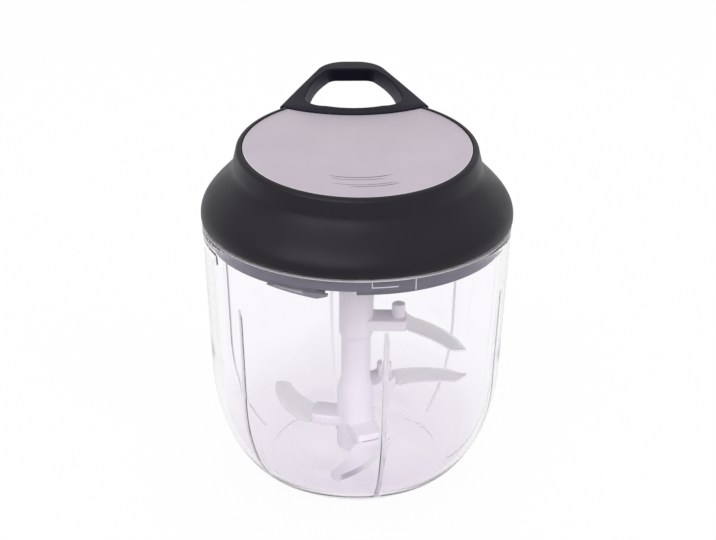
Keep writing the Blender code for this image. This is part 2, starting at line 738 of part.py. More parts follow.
def notch_shapes(margin):
    """Return the handle's notch and the deeper pocket in it, grown by margin to leave a wall."""
    front = NOTCH_CENTRE - NOTCH_RADIUS

    def shelf(x, y):
        return -NOTCH_DEPTH - margin - NOTCH_SLOPE_SHARE * (y - front)

    boss_bottom = -CORD_DROP - BOSS_BELOW_CORD

    def pocket_floor(x, y):
        return boss_bottom - CLEARANCE - margin

    wide = circle(NOTCH_RADIUS + margin, NOTCH_STEPS, (0, NOTCH_CENTRE))
    half = BOSS_HALF_WIDTH + CLEARANCE + margin
    slot = rectangle(-half, half, front - CLEARANCE - margin, LID_SHOULDER_RADIUS)
    return (wide, shelf, LID_HEIGHT), (slot, pocket_floor, -NOTCH_DEPTH / 2)


def post_places():
    return [turn_points([(POST_CIRCLE, 0)], FULL_TURN * (i + 0.5) / POST_COUNT)[0] for i in range(POST_COUNT)]


def make_cavity(body, top_frame):
    """The hollow of the dome, which leaves the notch's walls, the axle boss and the screw posts."""
    neck = LID_NECK_RADIUS - LID_WALL
    shoulder = LID_SHOULDER_RADIUS - LID_WALL
    edge = LID_EDGE_RADIUS - LID_WALL
    profile = [(0, LID_BOTTOM - OVERRUN), (edge, LID_BOTTOM - OVERRUN), (edge, LID_BOTTOM)]
    profile += [(shoulder, BOWL_HEIGHT + LID_EDGE_HEIGHT)]
    profile += dome_profile(shoulder, neck, LID_WALL / 2)[1:]
    profile += [(neck - LID_NECK_DRAFT, LID_CEILING), (0, LID_CEILING)]
    cavity = turned("lid_cavity", profile, parent=body, lean=lid_lean)
    wide_wall, slot_wall = notch_shapes(LID_WALL)
    cut(cavity, prisms("lid_notch_wall", [wide_wall], parent=top_frame))
    cut(cavity, prisms("lid_pocket_wall", [slot_wall], parent=top_frame))
    shapes = [(circle(AXLE_BOSS_RADIUS, SMALL_ROUND_STEPS), AXLE_BOSS_BOTTOM, LID_TOP + LID_HEIGHT)]
    for centre in post_places():
        shapes.append((circle(POST_RADIUS, SMALL_ROUND_STEPS, centre), BASE_TOP + CLEARANCE,
                       LID_TOP + LID_HEIGHT))
    cut(cavity, prisms("lid_posts", shapes, parent=body))
    return cavity


def make_housing(materials, body, top_frame):
    corner = (LID_NECK_RADIUS - LID_NECK_DRAFT - LID_TOP_ROUND, LID_TOP - LID_TOP_ROUND)
    profile = [(0, LID_BOTTOM), (LID_EDGE_RADIUS, LID_BOTTOM),
               (LID_SHOULDER_RADIUS, BOWL_HEIGHT + LID_EDGE_HEIGHT)]
    profile += dome_profile(LID_SHOULDER_RADIUS, LID_NECK_RADIUS, 0)
    profile += arc(corner, LID_TOP_ROUND, 0, math.pi / 2, LID_ROUND_STEPS) + [(0, LID_TOP)]
    housing = turned("lid_housing", profile, materials["black"], body, lean=lid_lean)
    cut(housing, make_cavity(body, top_frame))
    wide, slot = notch_shapes(0)
    cut(housing, prisms("lid_notch", [wide], parent=top_frame))
    cut(housing, prisms("lid_pocket", [slot], parent=top_frame))
    recess = (circle(PLATE_RADIUS + CLEARANCE, ROUND_STEPS), -PLATE_RECESS, OVERRUN)
    cut(housing, prisms("lid_plate_recess", [recess], parent=top_frame))
    holes = [(circle(AXLE_RADIUS + CLEARANCE, SMALL_ROUND_STEPS), AXLE_BOSS_BOTTOM - OVERRUN,
              AXLE_BOSS_BOTTOM + AXLE_SEAT_DEPTH)]
    for centre in post_places():
        holes.append((circle(SCREW_RADIUS + CLEARANCE, SMALL_ROUND_STEPS, centre), BASE_TOP - OVERRUN,
                      BASE_BOTTOM + SCREW_LENGTH + CLEARANCE))
    cut(housing, prisms("lid_fixing_holes", holes, parent=body))
    eyelet_hole = (circle(eyelet_radius() + CLEARANCE, SMALL_ROUND_STEPS), -OVERRUN, LID_WALL + OVERRUN)
    hole = prisms("lid_eyelet_hole", [eyelet_hole], parent=make_eyelet_frame(top_frame))
    cut(housing, hole)
    return housing


def make_eyelet_frame(top_frame):
    """A frame on the cord's line through the rear wall, with its +Z along the pull."""
    return frame("eyelet_frame", top_frame, (0, EYELET_FRONT, -CORD_DROP), (-math.pi / 2, 0, 0))


def eyelet_bore():
    return CORD_RADIUS + EYELET_BORE_MARGIN


def eyelet_radius():
    return eyelet_bore() + EYELET_WALL


def make_eyelet(materials, top_frame):
    bore, outer = eyelet_bore(), eyelet_radius()
    flange = outer + EYELET_FLANGE
    profile = [(bore, -CLEARANCE - EYELET_FLANGE), (flange, -CLEARANCE - EYELET_FLANGE), (flange, -CLEARANCE),
               (outer, -CLEARANCE), (outer, LID_WALL), (bore, LID_WALL)]
    turned("cord_eyelet", profile, materials["steel"], make_eyelet_frame(top_frame), SMALL_ROUND_STEPS)


def plate_outline(radius, notch_radius):
    """A disc whose rear is cut off by the handle's arc."""
    back = (radius ** 2 - notch_radius ** 2 + NOTCH_CENTRE ** 2) / (2 * NOTCH_CENTRE)
    half = math.sqrt(radius ** 2 - back ** 2)
    corner = math.atan2(back, half)
    rim = arc((0, 0), radius, math.pi - corner, FULL_TURN + corner, ROUND_STEPS)
    side = math.atan2(back - NOTCH_CENTRE, half)
    rear = arc((0, NOTCH_CENTRE), notch_radius, side, -math.pi - side, SMALL_ROUND_STEPS)
    return rim + rear[1:-1]


def make_top_plate(materials, top_frame):
    outline = plate_outline(PLATE_RADIUS, NOTCH_RADIUS + CLEARANCE)
    top = -PLATE_DROP
    plate = prisms("lid_top_plate", [(outline, top - PLATE_THICKNESS, top)], materials["plate"], top_frame)
    ridges = []
    for grip_inset, half_span in zip(GRIP_INSETS, GRIP_HALF_SPANS):
        radius = PLATE_RADIUS - grip_inset
        ridge = ring_sector(radius - GRIP_WIDTH / 2, radius + GRIP_WIDTH / 2, -math.pi / 2 - half_span,
                            2 * half_span, SMALL_ROUND_STEPS)
        ridge = [(x, y - GRIP_CENTRE) for x, y in ridge]
        ridges.append((ridge, top - PLATE_THICKNESS / 2, top + GRIP_HEIGHT))
    join(plate, prisms("plate_grip_ridges", ridges, parent=top_frame))
    return plate


def make_lid_base(materials, body):
    hole = BUSH_RADIUS + CLEARANCE
    top = BOWL_HEIGHT + SKIRT_RISE
    inner = SKIRT_RADIUS - SKIRT_WALL
    profile = [(hole, BASE_BOTTOM), (SKIRT_RADIUS, BASE_BOTTOM), (SKIRT_RADIUS, top), (inner, top),
               (inner, BASE_TOP), (hole, BASE_TOP)]
    base = turned("lid_base", profile, materials["inner"], body)
    join(base, make_lug_legs(body))
    join(base, make_lugs(body))
    holes = [(circle(SCREW_RADIUS + 2 * CLEARANCE, SMALL_ROUND_STEPS, centre), BASE_BOTTOM - OVERRUN,
              BASE_TOP + OVERRUN) for centre in post_places()]
    cut(base, prisms("lid_base_screw_holes", holes, parent=body))
    return base


def make_lugs(body):
    """Wedges that turn under the bowl's ramps."""
    top = BASE_BOTTOM - 2 * CLEARANCE - RAMP_HEIGHT
    inner = SKIRT_RADIUS - SKIRT_WALL
    outer = SKIRT_RADIUS + RAMP_DEPTH - CLEARANCE
    shapes = []
    for start in lock_angles(LUG_ANGLE):

        def underside(x, y, start=start):
            share = ((math.atan2(y, x) - start + math.pi) % FULL_TURN - math.pi) / LUG_SPAN
            return top - LUG_LEAD_HEIGHT - (LUG_HEIGHT - LUG_LEAD_HEIGHT) * min(max(share, 0), 1)

        shapes.append((ring_sector(inner, outer, start, LUG_SPAN, LOCK_STEPS), underside, top))
    return prisms("lid_base_lugs", shapes, parent=body)


def make_lug_legs(body):
    """Legs that hang the wedges from the skirt, and the low tabs between them."""
    bottom = BASE_BOTTOM - 2 * CLEARANCE - RAMP_HEIGHT - LUG_LEAD_HEIGHT
    inner = SKIRT_RADIUS - SKIRT_WALL + CLEARANCE
    shapes = []
    for start in lock_angles(LUG_ANGLE + LUG_SPAN - LUG_LEG_SPAN):
        leg = ring_sector(inner, SKIRT_RADIUS - CLEARANCE, start, LUG_LEG_SPAN * 0.95, LOCK_STEPS // 2)
        shapes.append((leg, bottom, BASE_BOTTOM + BASE_FLOOR / 2))
    for start in lock_angles(RAMP_ANGLE):
        tab = ring_sector(inner, SKIRT_RADIUS - CLEARANCE, start, RAMP_SPAN, LOCK_STEPS)
        shapes.append((tab, BASE_BOTTOM - TAB_DROP, BASE_BOTTOM + BASE_FLOOR / 2))
    return prisms("lid_base_legs", shapes, parent=body)


def make_seal(materials, body):
    inner = SEAL_RADIUS - SEAL_THICKNESS
    low = BASE_BOTTOM + CLEARANCE / 2
    high = low + SEAL_HEIGHT
    groove = SEAL_RADIUS - SEAL_LIP
    profile = [(inner, low), (groove, low), (SEAL_RADIUS, low + SEAL_LIP), (groove, low + 2 * SEAL_LIP),
               (groove, high - 2 * SEAL_LIP), (SEAL_RADIUS, high - SEAL_LIP), (groove, high), (inner, high)]
    turned("lid_seal", profile, materials["seal"], body)


def make_screws(materials, body):
    """Four cross-head screws, driven up through the lid base into the housing's posts."""
    low = -CLEARANCE - SCREW_HEAD_HEIGHT
    profile = [(0, low), (SCREW_HEAD_RADIUS - CROSS_WIDTH, low), (SCREW_HEAD_RADIUS, low + CROSS_WIDTH),
               (SCREW_HEAD_RADIUS, -CLEARANCE), (SCREW_RADIUS, -CLEARANCE),
               (SCREW_RADIUS, SCREW_LENGTH - SCREW_RADIUS), (0, SCREW_LENGTH)]
    half, thin = CROSS_LENGTH / 2, CROSS_WIDTH / 2
    cross = [(thin, thin), (half, thin), (half, -thin), (thin, -thin), (thin, -half), (-thin, -half),
             (-thin, -thin), (-half, -thin), (-half, thin), (-thin, thin), (-thin, half), (thin, half)]
    for i, (x, y) in enumerate(post_places(), start=1):
        spot = (x, y, BASE_BOTTOM)
        screw = turned(f"lid_screw_{i}", profile, materials["steel"], body, SMALL_ROUND_STEPS, location=spot)
        tool = prisms(f"screw_cross_{i}", [(cross, low - OVERRUN, low + CROSS_DEPTH)], parent=body,
                      location=spot)
        cut(screw, tool)


# Drive

def make_bush(materials, body):
    bore = SPINDLE_RADIUS + CLEARANCE
    seat = BASE_TOP + CLEARANCE
    flange = BUSH_RADIUS + BUSH_FLANGE_WIDTH
    low = BASE_BOTTOM - BUSH_DROP
    profile = [(bore, low), (BUSH_RADIUS, low), (BUSH_RADIUS, seat), (flange, seat), (flange, BUSH_TOP),
               (bore, BUSH_TOP)]
    turned("spindle_bush", profile, materials["white"], body, SMALL_ROUND_STEPS * 2)


def clip_low():
    return BASE_BOTTOM - BUSH_DROP - CLEARANCE - CLIP_HEIGHT


def make_spindle(materials, body):
    """The spindle: a hexagon in the reel, a running shank, and a two-winged key below."""
    groove = SPINDLE_RADIUS - SPINDLE_GROOVE
    key_bottom = SHAFT_TOP - SOCKET_DEPTH + KEY_FLOOR_GAP
    clip_bottom = clip_low() - CLEARANCE
    profile = [
        (0, key_bottom), (KEY_CORE_RADIUS, key_bottom), (KEY_CORE_RADIUS, SHAFT_TOP + CLEARANCE),
        (SPINDLE_RADIUS, SHAFT_TOP + CLEARANCE), (SPINDLE_RADIUS, clip_bottom), (groove, clip_bottom),
        (groove, clip_low() + CLIP_HEIGHT + CLEARANCE), (SPINDLE_RADIUS, clip_low() + CLIP_HEIGHT + CLEARANCE),
        (SPINDLE_RADIUS, COLLAR_BOTTOM), (SPINDLE_COLLAR_RADIUS, COLLAR_BOTTOM),
        (SPINDLE_COLLAR_RADIUS, COLLAR_TOP), (0, COLLAR_TOP),
    ]
    spindle = turned("drive_spindle", profile, materials["steel"], body, SMALL_ROUND_STEPS * 2)
    hexagon = (circle(SPINDLE_HEX_RADIUS, 6), COLLAR_BOTTOM + SPINDLE_COLLAR_HEIGHT / 2, HEX_TOP)
    join(spindle, prisms("spindle_hexagon", [hexagon], parent=body))
    wings = []
    for side in (math.pi / 2, -math.pi / 2):
        wing = ring_sector(KEY_CORE_RADIUS / 2, KEY_RADIUS, side - KEY_SPAN / 2, KEY_SPAN, LOCK_STEPS)
        wings.append((wing, key_bottom + CLEARANCE, SHAFT_TOP + 2 * CLEARANCE))
    join(spindle, prisms("spindle_wings", wings, parent=body))
    return spindle


def make_clip(materials, body):
    inner = SPINDLE_RADIUS - SPINDLE_GROOVE + CLEARANCE
    outline = ring_sector(inner, inner + CLIP_WIDTH, CLIP_MOUTH / 2, FULL_TURN - CLIP_MOUTH, ROUND_STEPS // 2)
    prisms("spindle_clip", [(outline, clip_low(), clip_low() + CLIP_HEIGHT)], materials["steel"], body)


def make_reel(materials, body):
    flange = DRUM_RADIUS + FLANGE_REACH
    bore = AXLE_RADIUS + CLEARANCE
    boss_bottom = COLLAR_TOP + CLEARANCE
    ledge = CHAMBER_RADIUS + COVER_LEDGE
    ledge_height = COVER_BOTTOM - CLEARANCE
    axle_floor = AXLE_BOTTOM - CLEARANCE
    profile = [
        (0, boss_bottom), (REEL_BOSS_RADIUS, boss_bottom), (REEL_BOSS_RADIUS, REEL_BOTTOM),
        (flange, REEL_BOTTOM), (flange, FLANGE_FLOOR), (DRUM_RADIUS, FLANGE_FLOOR),
        (DRUM_RADIUS, REEL_TOP - FLANGE_HEIGHT), (flange, REEL_TOP - FLANGE_HEIGHT), (flange, REEL_TOP),
        (ledge, REEL_TOP), (ledge, ledge_height), (CHAMBER_RADIUS, ledge_height),
        (CHAMBER_RADIUS, CHAMBER_FLOOR), (bore, CHAMBER_FLOOR), (bore, axle_floor), (0, axle_floor),
    ]
    reel = turned("cord_reel", profile, materials["white"], body, SMALL_ROUND_STEPS * 2)
    socket = (circle(SPINDLE_HEX_RADIUS + 2 * CLEARANCE, 6), boss_bottom - OVERRUN, HEX_TOP + CLEARANCE)
    cut(reel, prisms("reel_socket", [socket], parent=body))
    return reel


def make_axle(materials, body):
    top = AXLE_BOSS_BOTTOM + AXLE_SEAT_DEPTH - CLEARANCE
    profile = [(0, AXLE_BOTTOM), (AXLE_RADIUS, AXLE_BOTTOM), (AXLE_RADIUS, top), (0, top)]
    turned("reel_axle", profile, materials["steel"], body, SMALL_ROUND_STEPS)
    bore = AXLE_RADIUS + CLEARANCE
    low = WASHER_TOP - WASHER_HEIGHT
    washer = [(bore, low), (WASHER_RADIUS, low), (WASHER_RADIUS, WASHER_TOP), (bore, WASHER_TOP)]
    turned("axle_washer", washer, materials["steel"], body, SMALL_ROUND_STEPS)


def make_spring(materials, body):
    """A spiral strip between the axle and the drum's wall."""
    start = AXLE_RADIUS + CLEARANCE + SPRING_STRIP
    end = CHAMBER_RADIUS - CLEARANCE - SPRING_STRIP
    count = SPRING_TURNS * SPRING_STEPS
    outer, inner = [], []
    for i in range(count + 1):
        angle = FULL_TURN * i / SPRING_STEPS
        radius = start + (end - start) * i / count
        outer.append(((radius + SPRING_STRIP / 2) * math.cos(angle), (radius + SPRING_STRIP / 2) * math.sin(angle)))
        inner.append(((radius - SPRING_STRIP / 2) * math.cos(angle), (radius - SPRING_STRIP / 2) * math.sin(angle)))
    low, high = CHAMBER_FLOOR + SPRING_MARGIN, COVER_BOTTOM - SPRING_MARGIN
    prisms("spiral_spring", [(outer + inner[::-1], low, high)], materials["spring"], body)
    bore = AXLE_RADIUS + CLEARANCE
    rim = CHAMBER_RADIUS + COVER_LEDGE - CLEARANCE
    cover = [(bore, COVER_BOTTOM), (rim, COVER_BOTTOM), (rim, COVER_TOP), (bore, COVER_TOP)]
    turned("spring_cover", cover, materials["white"], body, SMALL_ROUND_STEPS * 2)


# Pull cord

def make_tube(name, points, material, parent):
    curve = bpy.data.curves.new(name, "CURVE")
    curve.dimensions = "3D"
    curve.bevel_depth = CORD_RADIUS
    curve.bevel_resolution = 1
    curve.use_fill_caps = True
    spline = curve.splines.new("POLY")
    spline.points.add(len(points) - 1)
    for target, point in zip(spline.points, points):
        target.co = (*point, 1)
    return place(name, curve, material, parent)


def leaving_angle():
    """Return where on the drum a straight run to the eyelet leaves the winding."""
    return math.pi / 2 - math.acos(CORD_RUN_RADIUS / (EYELET_FRONT - LEAD_SETBACK))


def make_winding(materials, body):
    end = leaving_angle()
    count = round(CORD_TURNS * CORD_STEPS)
    points = []
    for i in range(count + 1):
        share = i / count
        angle = end - CORD_TURNS * FULL_TURN * (1 - share)
        height = CORD_START_HEIGHT + (CORD_END_HEIGHT - CORD_START_HEIGHT) * share
        points.append((CORD_RUN_RADIUS * math.cos(angle), CORD_RUN_RADIUS * math.sin(angle), height))
    print("least gap between turns:", round(CORD_PITCH - 2 * CORD_RADIUS, 6))
    make_tube("pull_cord_winding", points, materials["cord"], body)


def make_lead(materials, body):
    """The cord from the winding, through the eyelet, to the knot in the handle."""
    angle = leaving_angle()
    start = Vector((CORD_RUN_RADIUS * math.cos(angle), CORD_RUN_RADIUS * math.sin(angle), CORD_END_HEIGHT))
    run = Vector((-math.sin(angle), math.cos(angle), 0))
    pull = Vector((0, math.cos(LID_TILT), math.sin(LID_TILT)))
    to_world = Matrix.Translation((0, 0, LID_TOP)) @ Matrix.Rotation(LID_TILT, 4, "X")
    gate = to_world @ Vector((0, EYELET_FRONT - LEAD_SETBACK, -CORD_DROP))
    finish = to_world @ Vector((0, knot_place() - KNOT_RADIUS - CLEARANCE, -CORD_DROP))
    level_end = start + run * LEAD_LEVEL_RUN
    points = [start + run * CLEARANCE, start + run * LEAD_LEVEL_RUN / 2]
    points += interpolate_bezier(level_end, level_end + run * LEAD_BEND, gate - pull * LEAD_BEND, gate,
                                 LEAD_STEPS + 1)
    points += [(gate + finish) / 2, finish]
    make_tube("pull_cord_lead", points, materials["cord"], body)


# Pull handle

def knot_place():
    return NOTCH_CENTRE - NOTCH_RADIUS + KNOT_SETBACK


def handle_corner():
    """Return the handle's right front corner, where its front arc meets the lid's rim."""
    front_radius = NOTCH_RADIUS - CLEARANCE
    y = (HANDLE_CORNER_RADIUS ** 2 - front_radius ** 2 + NOTCH_CENTRE ** 2) / (2 * NOTCH_CENTRE)
    return math.sqrt(HANDLE_CORNER_RADIUS ** 2 - y ** 2), y


def handle_outline():
    """The handle's outline from its right front corner round the back, then along the front arc."""
    front_radius = NOTCH_RADIUS - CLEARANCE
    corner_x, corner_y = handle_corner()
    waist_half, back_half = corner_x * HANDLE_WAIST_SHARE, corner_x * HANDLE_BACK_SHARE
    bend = back_half * HANDLE_BACK_CORNER_SHARE
    turn_y = HANDLE_BACK - bend
    back_corner = arc((back_half - bend, turn_y), bend, HANDLE_LEAN, math.pi / 2, 6)
    right = arc_through((corner_x, corner_y), (waist_half, HANDLE_WAIST), back_corner[0], 6)
    right += back_corner[1:]
    left = [(-x, y) for x, y in reversed(right)]
    side = math.atan2(corner_y - NOTCH_CENTRE, corner_x)
    front = arc((0, NOTCH_CENTRE), front_radius, -math.pi - side, side, SMALL_ROUND_STEPS)
    return right + left + front[1:-1]


def window_outline():
    """The finger window: it narrows to the back, with rounded corners and bowed sides and front."""
    front = NOTCH_CENTRE - NOTCH_RADIUS + HANDLE_FRONT_BAR
    back = HANDLE_BACK - HANDLE_BACK_BAR
    corner_x, _ = handle_corner()
    wide, narrow = corner_x * WINDOW_FRONT_SHARE, corner_x * WINDOW_BACK_SHARE
    near, far = wide * WINDOW_FRONT_CORNER_SHARE, narrow * WINDOW_BACK_CORNER_SHARE
    near_corner = arc((wide - near, front + WINDOW_SAG + near), near, -math.pi / 2, WINDOW_FRONT_LEAN, 6)
    far_corner = arc((narrow - far, back - far), far, WINDOW_BACK_LEAN, math.pi / 2, 5)
    waist = (corner_x * WINDOW_WAIST_SHARE, WINDOW_WAIST)
    side = arc_through(near_corner[-1], waist, far_corner[0], 4)
    right = near_corner + side[1:-1] + far_corner
    left = [(-x, y) for x, y in reversed(right)]
    bow = arc_through(left[-1], (0, front), right[0], 6)
    return right + left + bow[1:-1]


def make_window(body):
    """The window's cut, which narrows downwards by a draft, except at its upright back wall."""
    outline = window_outline()
    narrow = [(x, y + WINDOW_DRAFT) for x, y in inset(outline, WINDOW_DRAFT)]
    bm = bmesh.new()
    layers = []
    for points, z in ((narrow, -HANDLE_THICKNESS - OVERRUN), (narrow, -HANDLE_THICKNESS), (outline, 0),
                      (outline, OVERRUN)):
        layers.append([(x, y, z) for x, y in points])
    add_layers(bm, layers)
    return place("handle_window", finish_mesh("handle_window", bm), parent=body)


def make_handle(materials, body):
    outline = handle_outline()
    handle = prisms("pull_handle", [(outline, -HANDLE_THICKNESS, 0, HANDLE_CHAMFER)], materials["black"], body)
    cut(handle, make_window(body))
    front = NOTCH_CENTRE - NOTCH_RADIUS + CLEARANCE
    back = front + BOSS_DEPTH
    boss = rectangle(-BOSS_HALF_WIDTH, BOSS_HALF_WIDTH, front, back)
    shape = (boss, -CORD_DROP - BOSS_BELOW_CORD, -HANDLE_THICKNESS / 2 - CORD_RADIUS)
    join(handle, prisms("handle_boss", [shape], parent=body))
    bore_frame = frame("cord_bore_frame", body, (0, knot_place(), -CORD_DROP), (-math.pi / 2, 0, 0))
    reach = back - knot_place()
    bore = [(0, -KNOT_SETBACK - OVERRUN), (eyelet_bore(), -KNOT_SETBACK - OVERRUN),
            (eyelet_bore(), -KNOT_RADIUS - CLEARANCE), (KNOT_RADIUS + KNOT_MARGIN, -KNOT_RADIUS - CLEARANCE),
            (KNOT_RADIUS + KNOT_MARGIN, reach - PLUG_HEIGHT - CLEARANCE),
            (PLUG_RADIUS + CLEARANCE, reach - PLUG_HEIGHT - CLEARANCE), (PLUG_RADIUS + CLEARANCE, reach + OVERRUN),
            (0, reach + OVERRUN)]
    cut(handle, turned("handle_cord_bore", bore, parent=bore_frame, steps=SMALL_ROUND_STEPS))
    make_knot(materials, bore_frame, reach)
    return handle


def make_knot(materials, bore_frame, reach):
    steps = SMALL_ROUND_STEPS // 3
    ball = []
    for i in range(steps + 1):
        angle = math.pi * i / steps
        radius = KNOT_RADIUS * math.sin(angle) if 0 < i < steps else 0
        ball.append((radius, -KNOT_RADIUS * math.cos(angle)))
    turned("cord_knot", ball, materials["cord"], bore_frame, SMALL_ROUND_STEPS // 2)
    low = reach - PLUG_HEIGHT
    plug = [(0, low), (PLUG_RADIUS, low), (PLUG_RADIUS, reach), (0, reach)]
    turned("knot_cover", plug, materials["black"], bore_frame, SMALL_ROUND_STEPS)


def main():
    clear_scene()
    materials = make_materials()
    bowl_body = frame("bowl_body")
    make_bowl(materials, bowl_body)
    make_pivot_pin(materials, bowl_body)
    blade_body = frame("blade_body", bowl_body)
    make_shaft(materials, blade_body)
    make_blades(materials, blade_body)
    seal_body = frame("seal_body", bowl_body)
    make_seal(materials, seal_body)
    lid_body = frame("lid_body", seal_body)
    top_frame = frame("lid_top_frame", lid_body, (0, 0, LID_TOP), (LID_TILT, 0, 0))
    make_housing(materials, lid_body, top_frame)
    make_top_plate(materials, top_frame)
    make_lid_base(materials, lid_body)
    make_screws(materials, lid_body)
    make_bush(materials, lid_body)
    make_axle(materials, lid_body)
    make_eyelet(materials, top_frame)
    make_lead(materials, lid_body)
    reel_body = frame("reel_body", lid_body)
    make_reel(materials, reel_body)
    make_spring(materials, reel_body)
    make_winding(materials, reel_body)
    make_spindle(materials, reel_body)
    make_clip(materials, reel_body)
    handle_body = frame("handle_body", top_frame)
    make_handle(materials, handle_body)


main()
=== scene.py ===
"""Looks of the manual food chopper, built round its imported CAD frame. Lengths are in millimetres until
they reach a mesh, apart from those of the floor, the lamps and the materials, which are in metres. +Y
points from the front to the pull handle."""

import math

import bmesh
import bpy
from mathutils import Matrix, Vector
from mathutils.geometry import interpolate_bezier


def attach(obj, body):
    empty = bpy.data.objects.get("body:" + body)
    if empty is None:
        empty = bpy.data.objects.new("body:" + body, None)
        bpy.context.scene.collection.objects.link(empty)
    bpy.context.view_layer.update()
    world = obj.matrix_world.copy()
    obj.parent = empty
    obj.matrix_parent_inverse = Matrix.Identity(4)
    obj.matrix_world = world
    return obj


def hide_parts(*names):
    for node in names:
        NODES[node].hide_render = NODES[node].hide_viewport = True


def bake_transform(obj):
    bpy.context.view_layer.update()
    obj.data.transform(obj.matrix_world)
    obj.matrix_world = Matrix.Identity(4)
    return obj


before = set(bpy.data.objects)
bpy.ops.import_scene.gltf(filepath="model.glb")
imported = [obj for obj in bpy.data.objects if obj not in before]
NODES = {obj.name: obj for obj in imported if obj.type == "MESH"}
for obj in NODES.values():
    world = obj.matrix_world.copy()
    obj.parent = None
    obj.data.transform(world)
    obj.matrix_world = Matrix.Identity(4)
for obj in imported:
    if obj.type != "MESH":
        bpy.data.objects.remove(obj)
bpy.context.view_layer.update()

MM = 0.001
FULL_TURN = 2 * math.pi
QUARTER_TURN = math.pi / 2
TILT = math.radians(4.36)

# The bowl and the lid, as in the CAD source
BOWL_HEIGHT = 109.5
BOWL_WALL = 2.4
WAIST = 48.0
FOOT_RADIUS = 39.6
WAIST_RADIUS = 60.4
RIM_RADIUS = 63.0
FLOOR = 3.0
LID_HEIGHT = 31.1
LID_TOP = BOWL_HEIGHT + LID_HEIGHT
BASE_BOTTOM, BASE_TOP = 104.2, 106.2
LUG_TOP = 102.5
NOTCH_CENTRE = 90.0
NOTCH_RADIUS = 60.0
CORD_DROP = 8.6
TOP = Matrix.Translation((0, 0, LID_TOP)) @ Matrix.Rotation(TILT, 4, "X")


# Camera, lights and floor

VIEW_TARGET, VIEW_DISTANCE = (0.6, 0, 85.56), 743.8
VIEW_ELEVATION, VIEW_ROLL, VIEW_TURN = 0.430586, 0.0091, math.radians(-2.3)
SENSOR_WIDTH, LENS = 36, 90.5
CLIP_RANGE = (0.05, 20)

FLOOR_SIZE, FLOOR_DROP = 3, 0.0002
FLOOR_COLOR = (0.72, 0.665, 0.74, 1)
# How white the floor looks to the camera and mirrors, and through plastic
WHITE_SEEN, WHITE_THROUGH = 0.94, 0.38

WORLD_COLOR, WORLD_STRENGTH = (0.97, 0.97, 1.0, 1), 0.85
CAMERA_WHITE, OTHER_WHITE = 1.0, 0.8

# Each lamp's place, target, size and power, and whether mirrors show it
LAMPS = {
    "key": ((-0.55, -0.9, 1.1), (0, 0, 0.1), (1.5, 1.1), 12, True),
    "fill": ((0.9, -0.7, 0.7), (0, 0, 0.08), (0.9, 0.9), 7, False),
    "top": ((0.1, 0.5, 1.2), (0, 0, 0.12), (0.9, 0.5), 4, False),
}


def make_camera():
    """The photograph's view: a long lens, about 25 degrees above level."""
    back = Vector((0, -math.cos(VIEW_ELEVATION), math.sin(VIEW_ELEVATION)))
    right = Vector((1, 0, 0))
    up = back.cross(right)
    turned_right = math.cos(VIEW_ROLL) * right + math.sin(VIEW_ROLL) * up
    turned_up = -math.sin(VIEW_ROLL) * right + math.cos(VIEW_ROLL) * up
    place = (Vector(VIEW_TARGET) + back * VIEW_DISTANCE) * MM
    columns = Matrix((turned_right, turned_up, back)).transposed().to_4x4()
    data = bpy.data.cameras.new("camera")
    data.sensor_fit = "HORIZONTAL"
    data.sensor_width = SENSOR_WIDTH
    data.lens = LENS
    data.clip_start, data.clip_end = CLIP_RANGE
    camera = add("camera", data)
    camera.matrix_world = Matrix.Rotation(VIEW_TURN, 4, "Z") @ Matrix.Translation(place) @ columns
    bpy.context.scene.camera = camera


def math_node(tree, operation, *values, clamp=False):
    """The result of a Math node, whose values are sockets or floats."""
    made = tree.nodes.new("ShaderNodeMath")
    made.operation = operation
    made.use_clamp = clamp
    for socket, value in zip(made.inputs, values):
        if isinstance(value, float):
            socket.default_value = value
        else:
            tree.links.new(value, socket)
    return made.outputs[0]


def mix_shaders(tree, share, first, second):
    mix = tree.nodes.new("ShaderNodeMixShader")
    for socket, value in zip(mix.inputs, (share, first.outputs[0], second.outputs[0])):
        tree.links.new(value, socket)
    return mix.outputs[0]


def white_to_view(tree, shader):
    """Mix a surface with plain white for rays from the camera, a mirror or clear plastic."""
    path = tree.nodes.new("ShaderNodeLightPath").outputs
    seen = math_node(tree, "MAXIMUM", path["Is Camera Ray"], path["Is Glossy Ray"])
    outside = math_node(tree, "MULTIPLY", seen, WHITE_SEEN)
    through = path["Is Transmission Ray"]
    share = math_node(tree, "MULTIPLY_ADD", through, WHITE_THROUGH, outside, clamp=True)
    return mix_shaders(tree, share, shader, tree.nodes.new("ShaderNodeEmission"))


def make_stage():
    bm = bmesh.new()
    bmesh.ops.create_grid(bm, x_segments=1, y_segments=1, size=FLOOR_SIZE)
    mesh = bpy.data.meshes.new("floor")
    bm.to_mesh(mesh)
    bm.free()
    floor = add("floor", mesh)
    floor.location = (0, 0, -FLOOR_DROP)
    material = bpy.data.materials.new("pale_floor")
    material.use_nodes = True
    tree = material.node_tree
    tree.nodes.clear()
    diffuse = tree.nodes.new("ShaderNodeBsdfDiffuse")
    diffuse.inputs["Color"].default_value = FLOOR_COLOR
    output = tree.nodes.new("ShaderNodeOutputMaterial")
    tree.links.new(white_to_view(tree, diffuse), output.inputs["Surface"])
    mesh.materials.append(material)


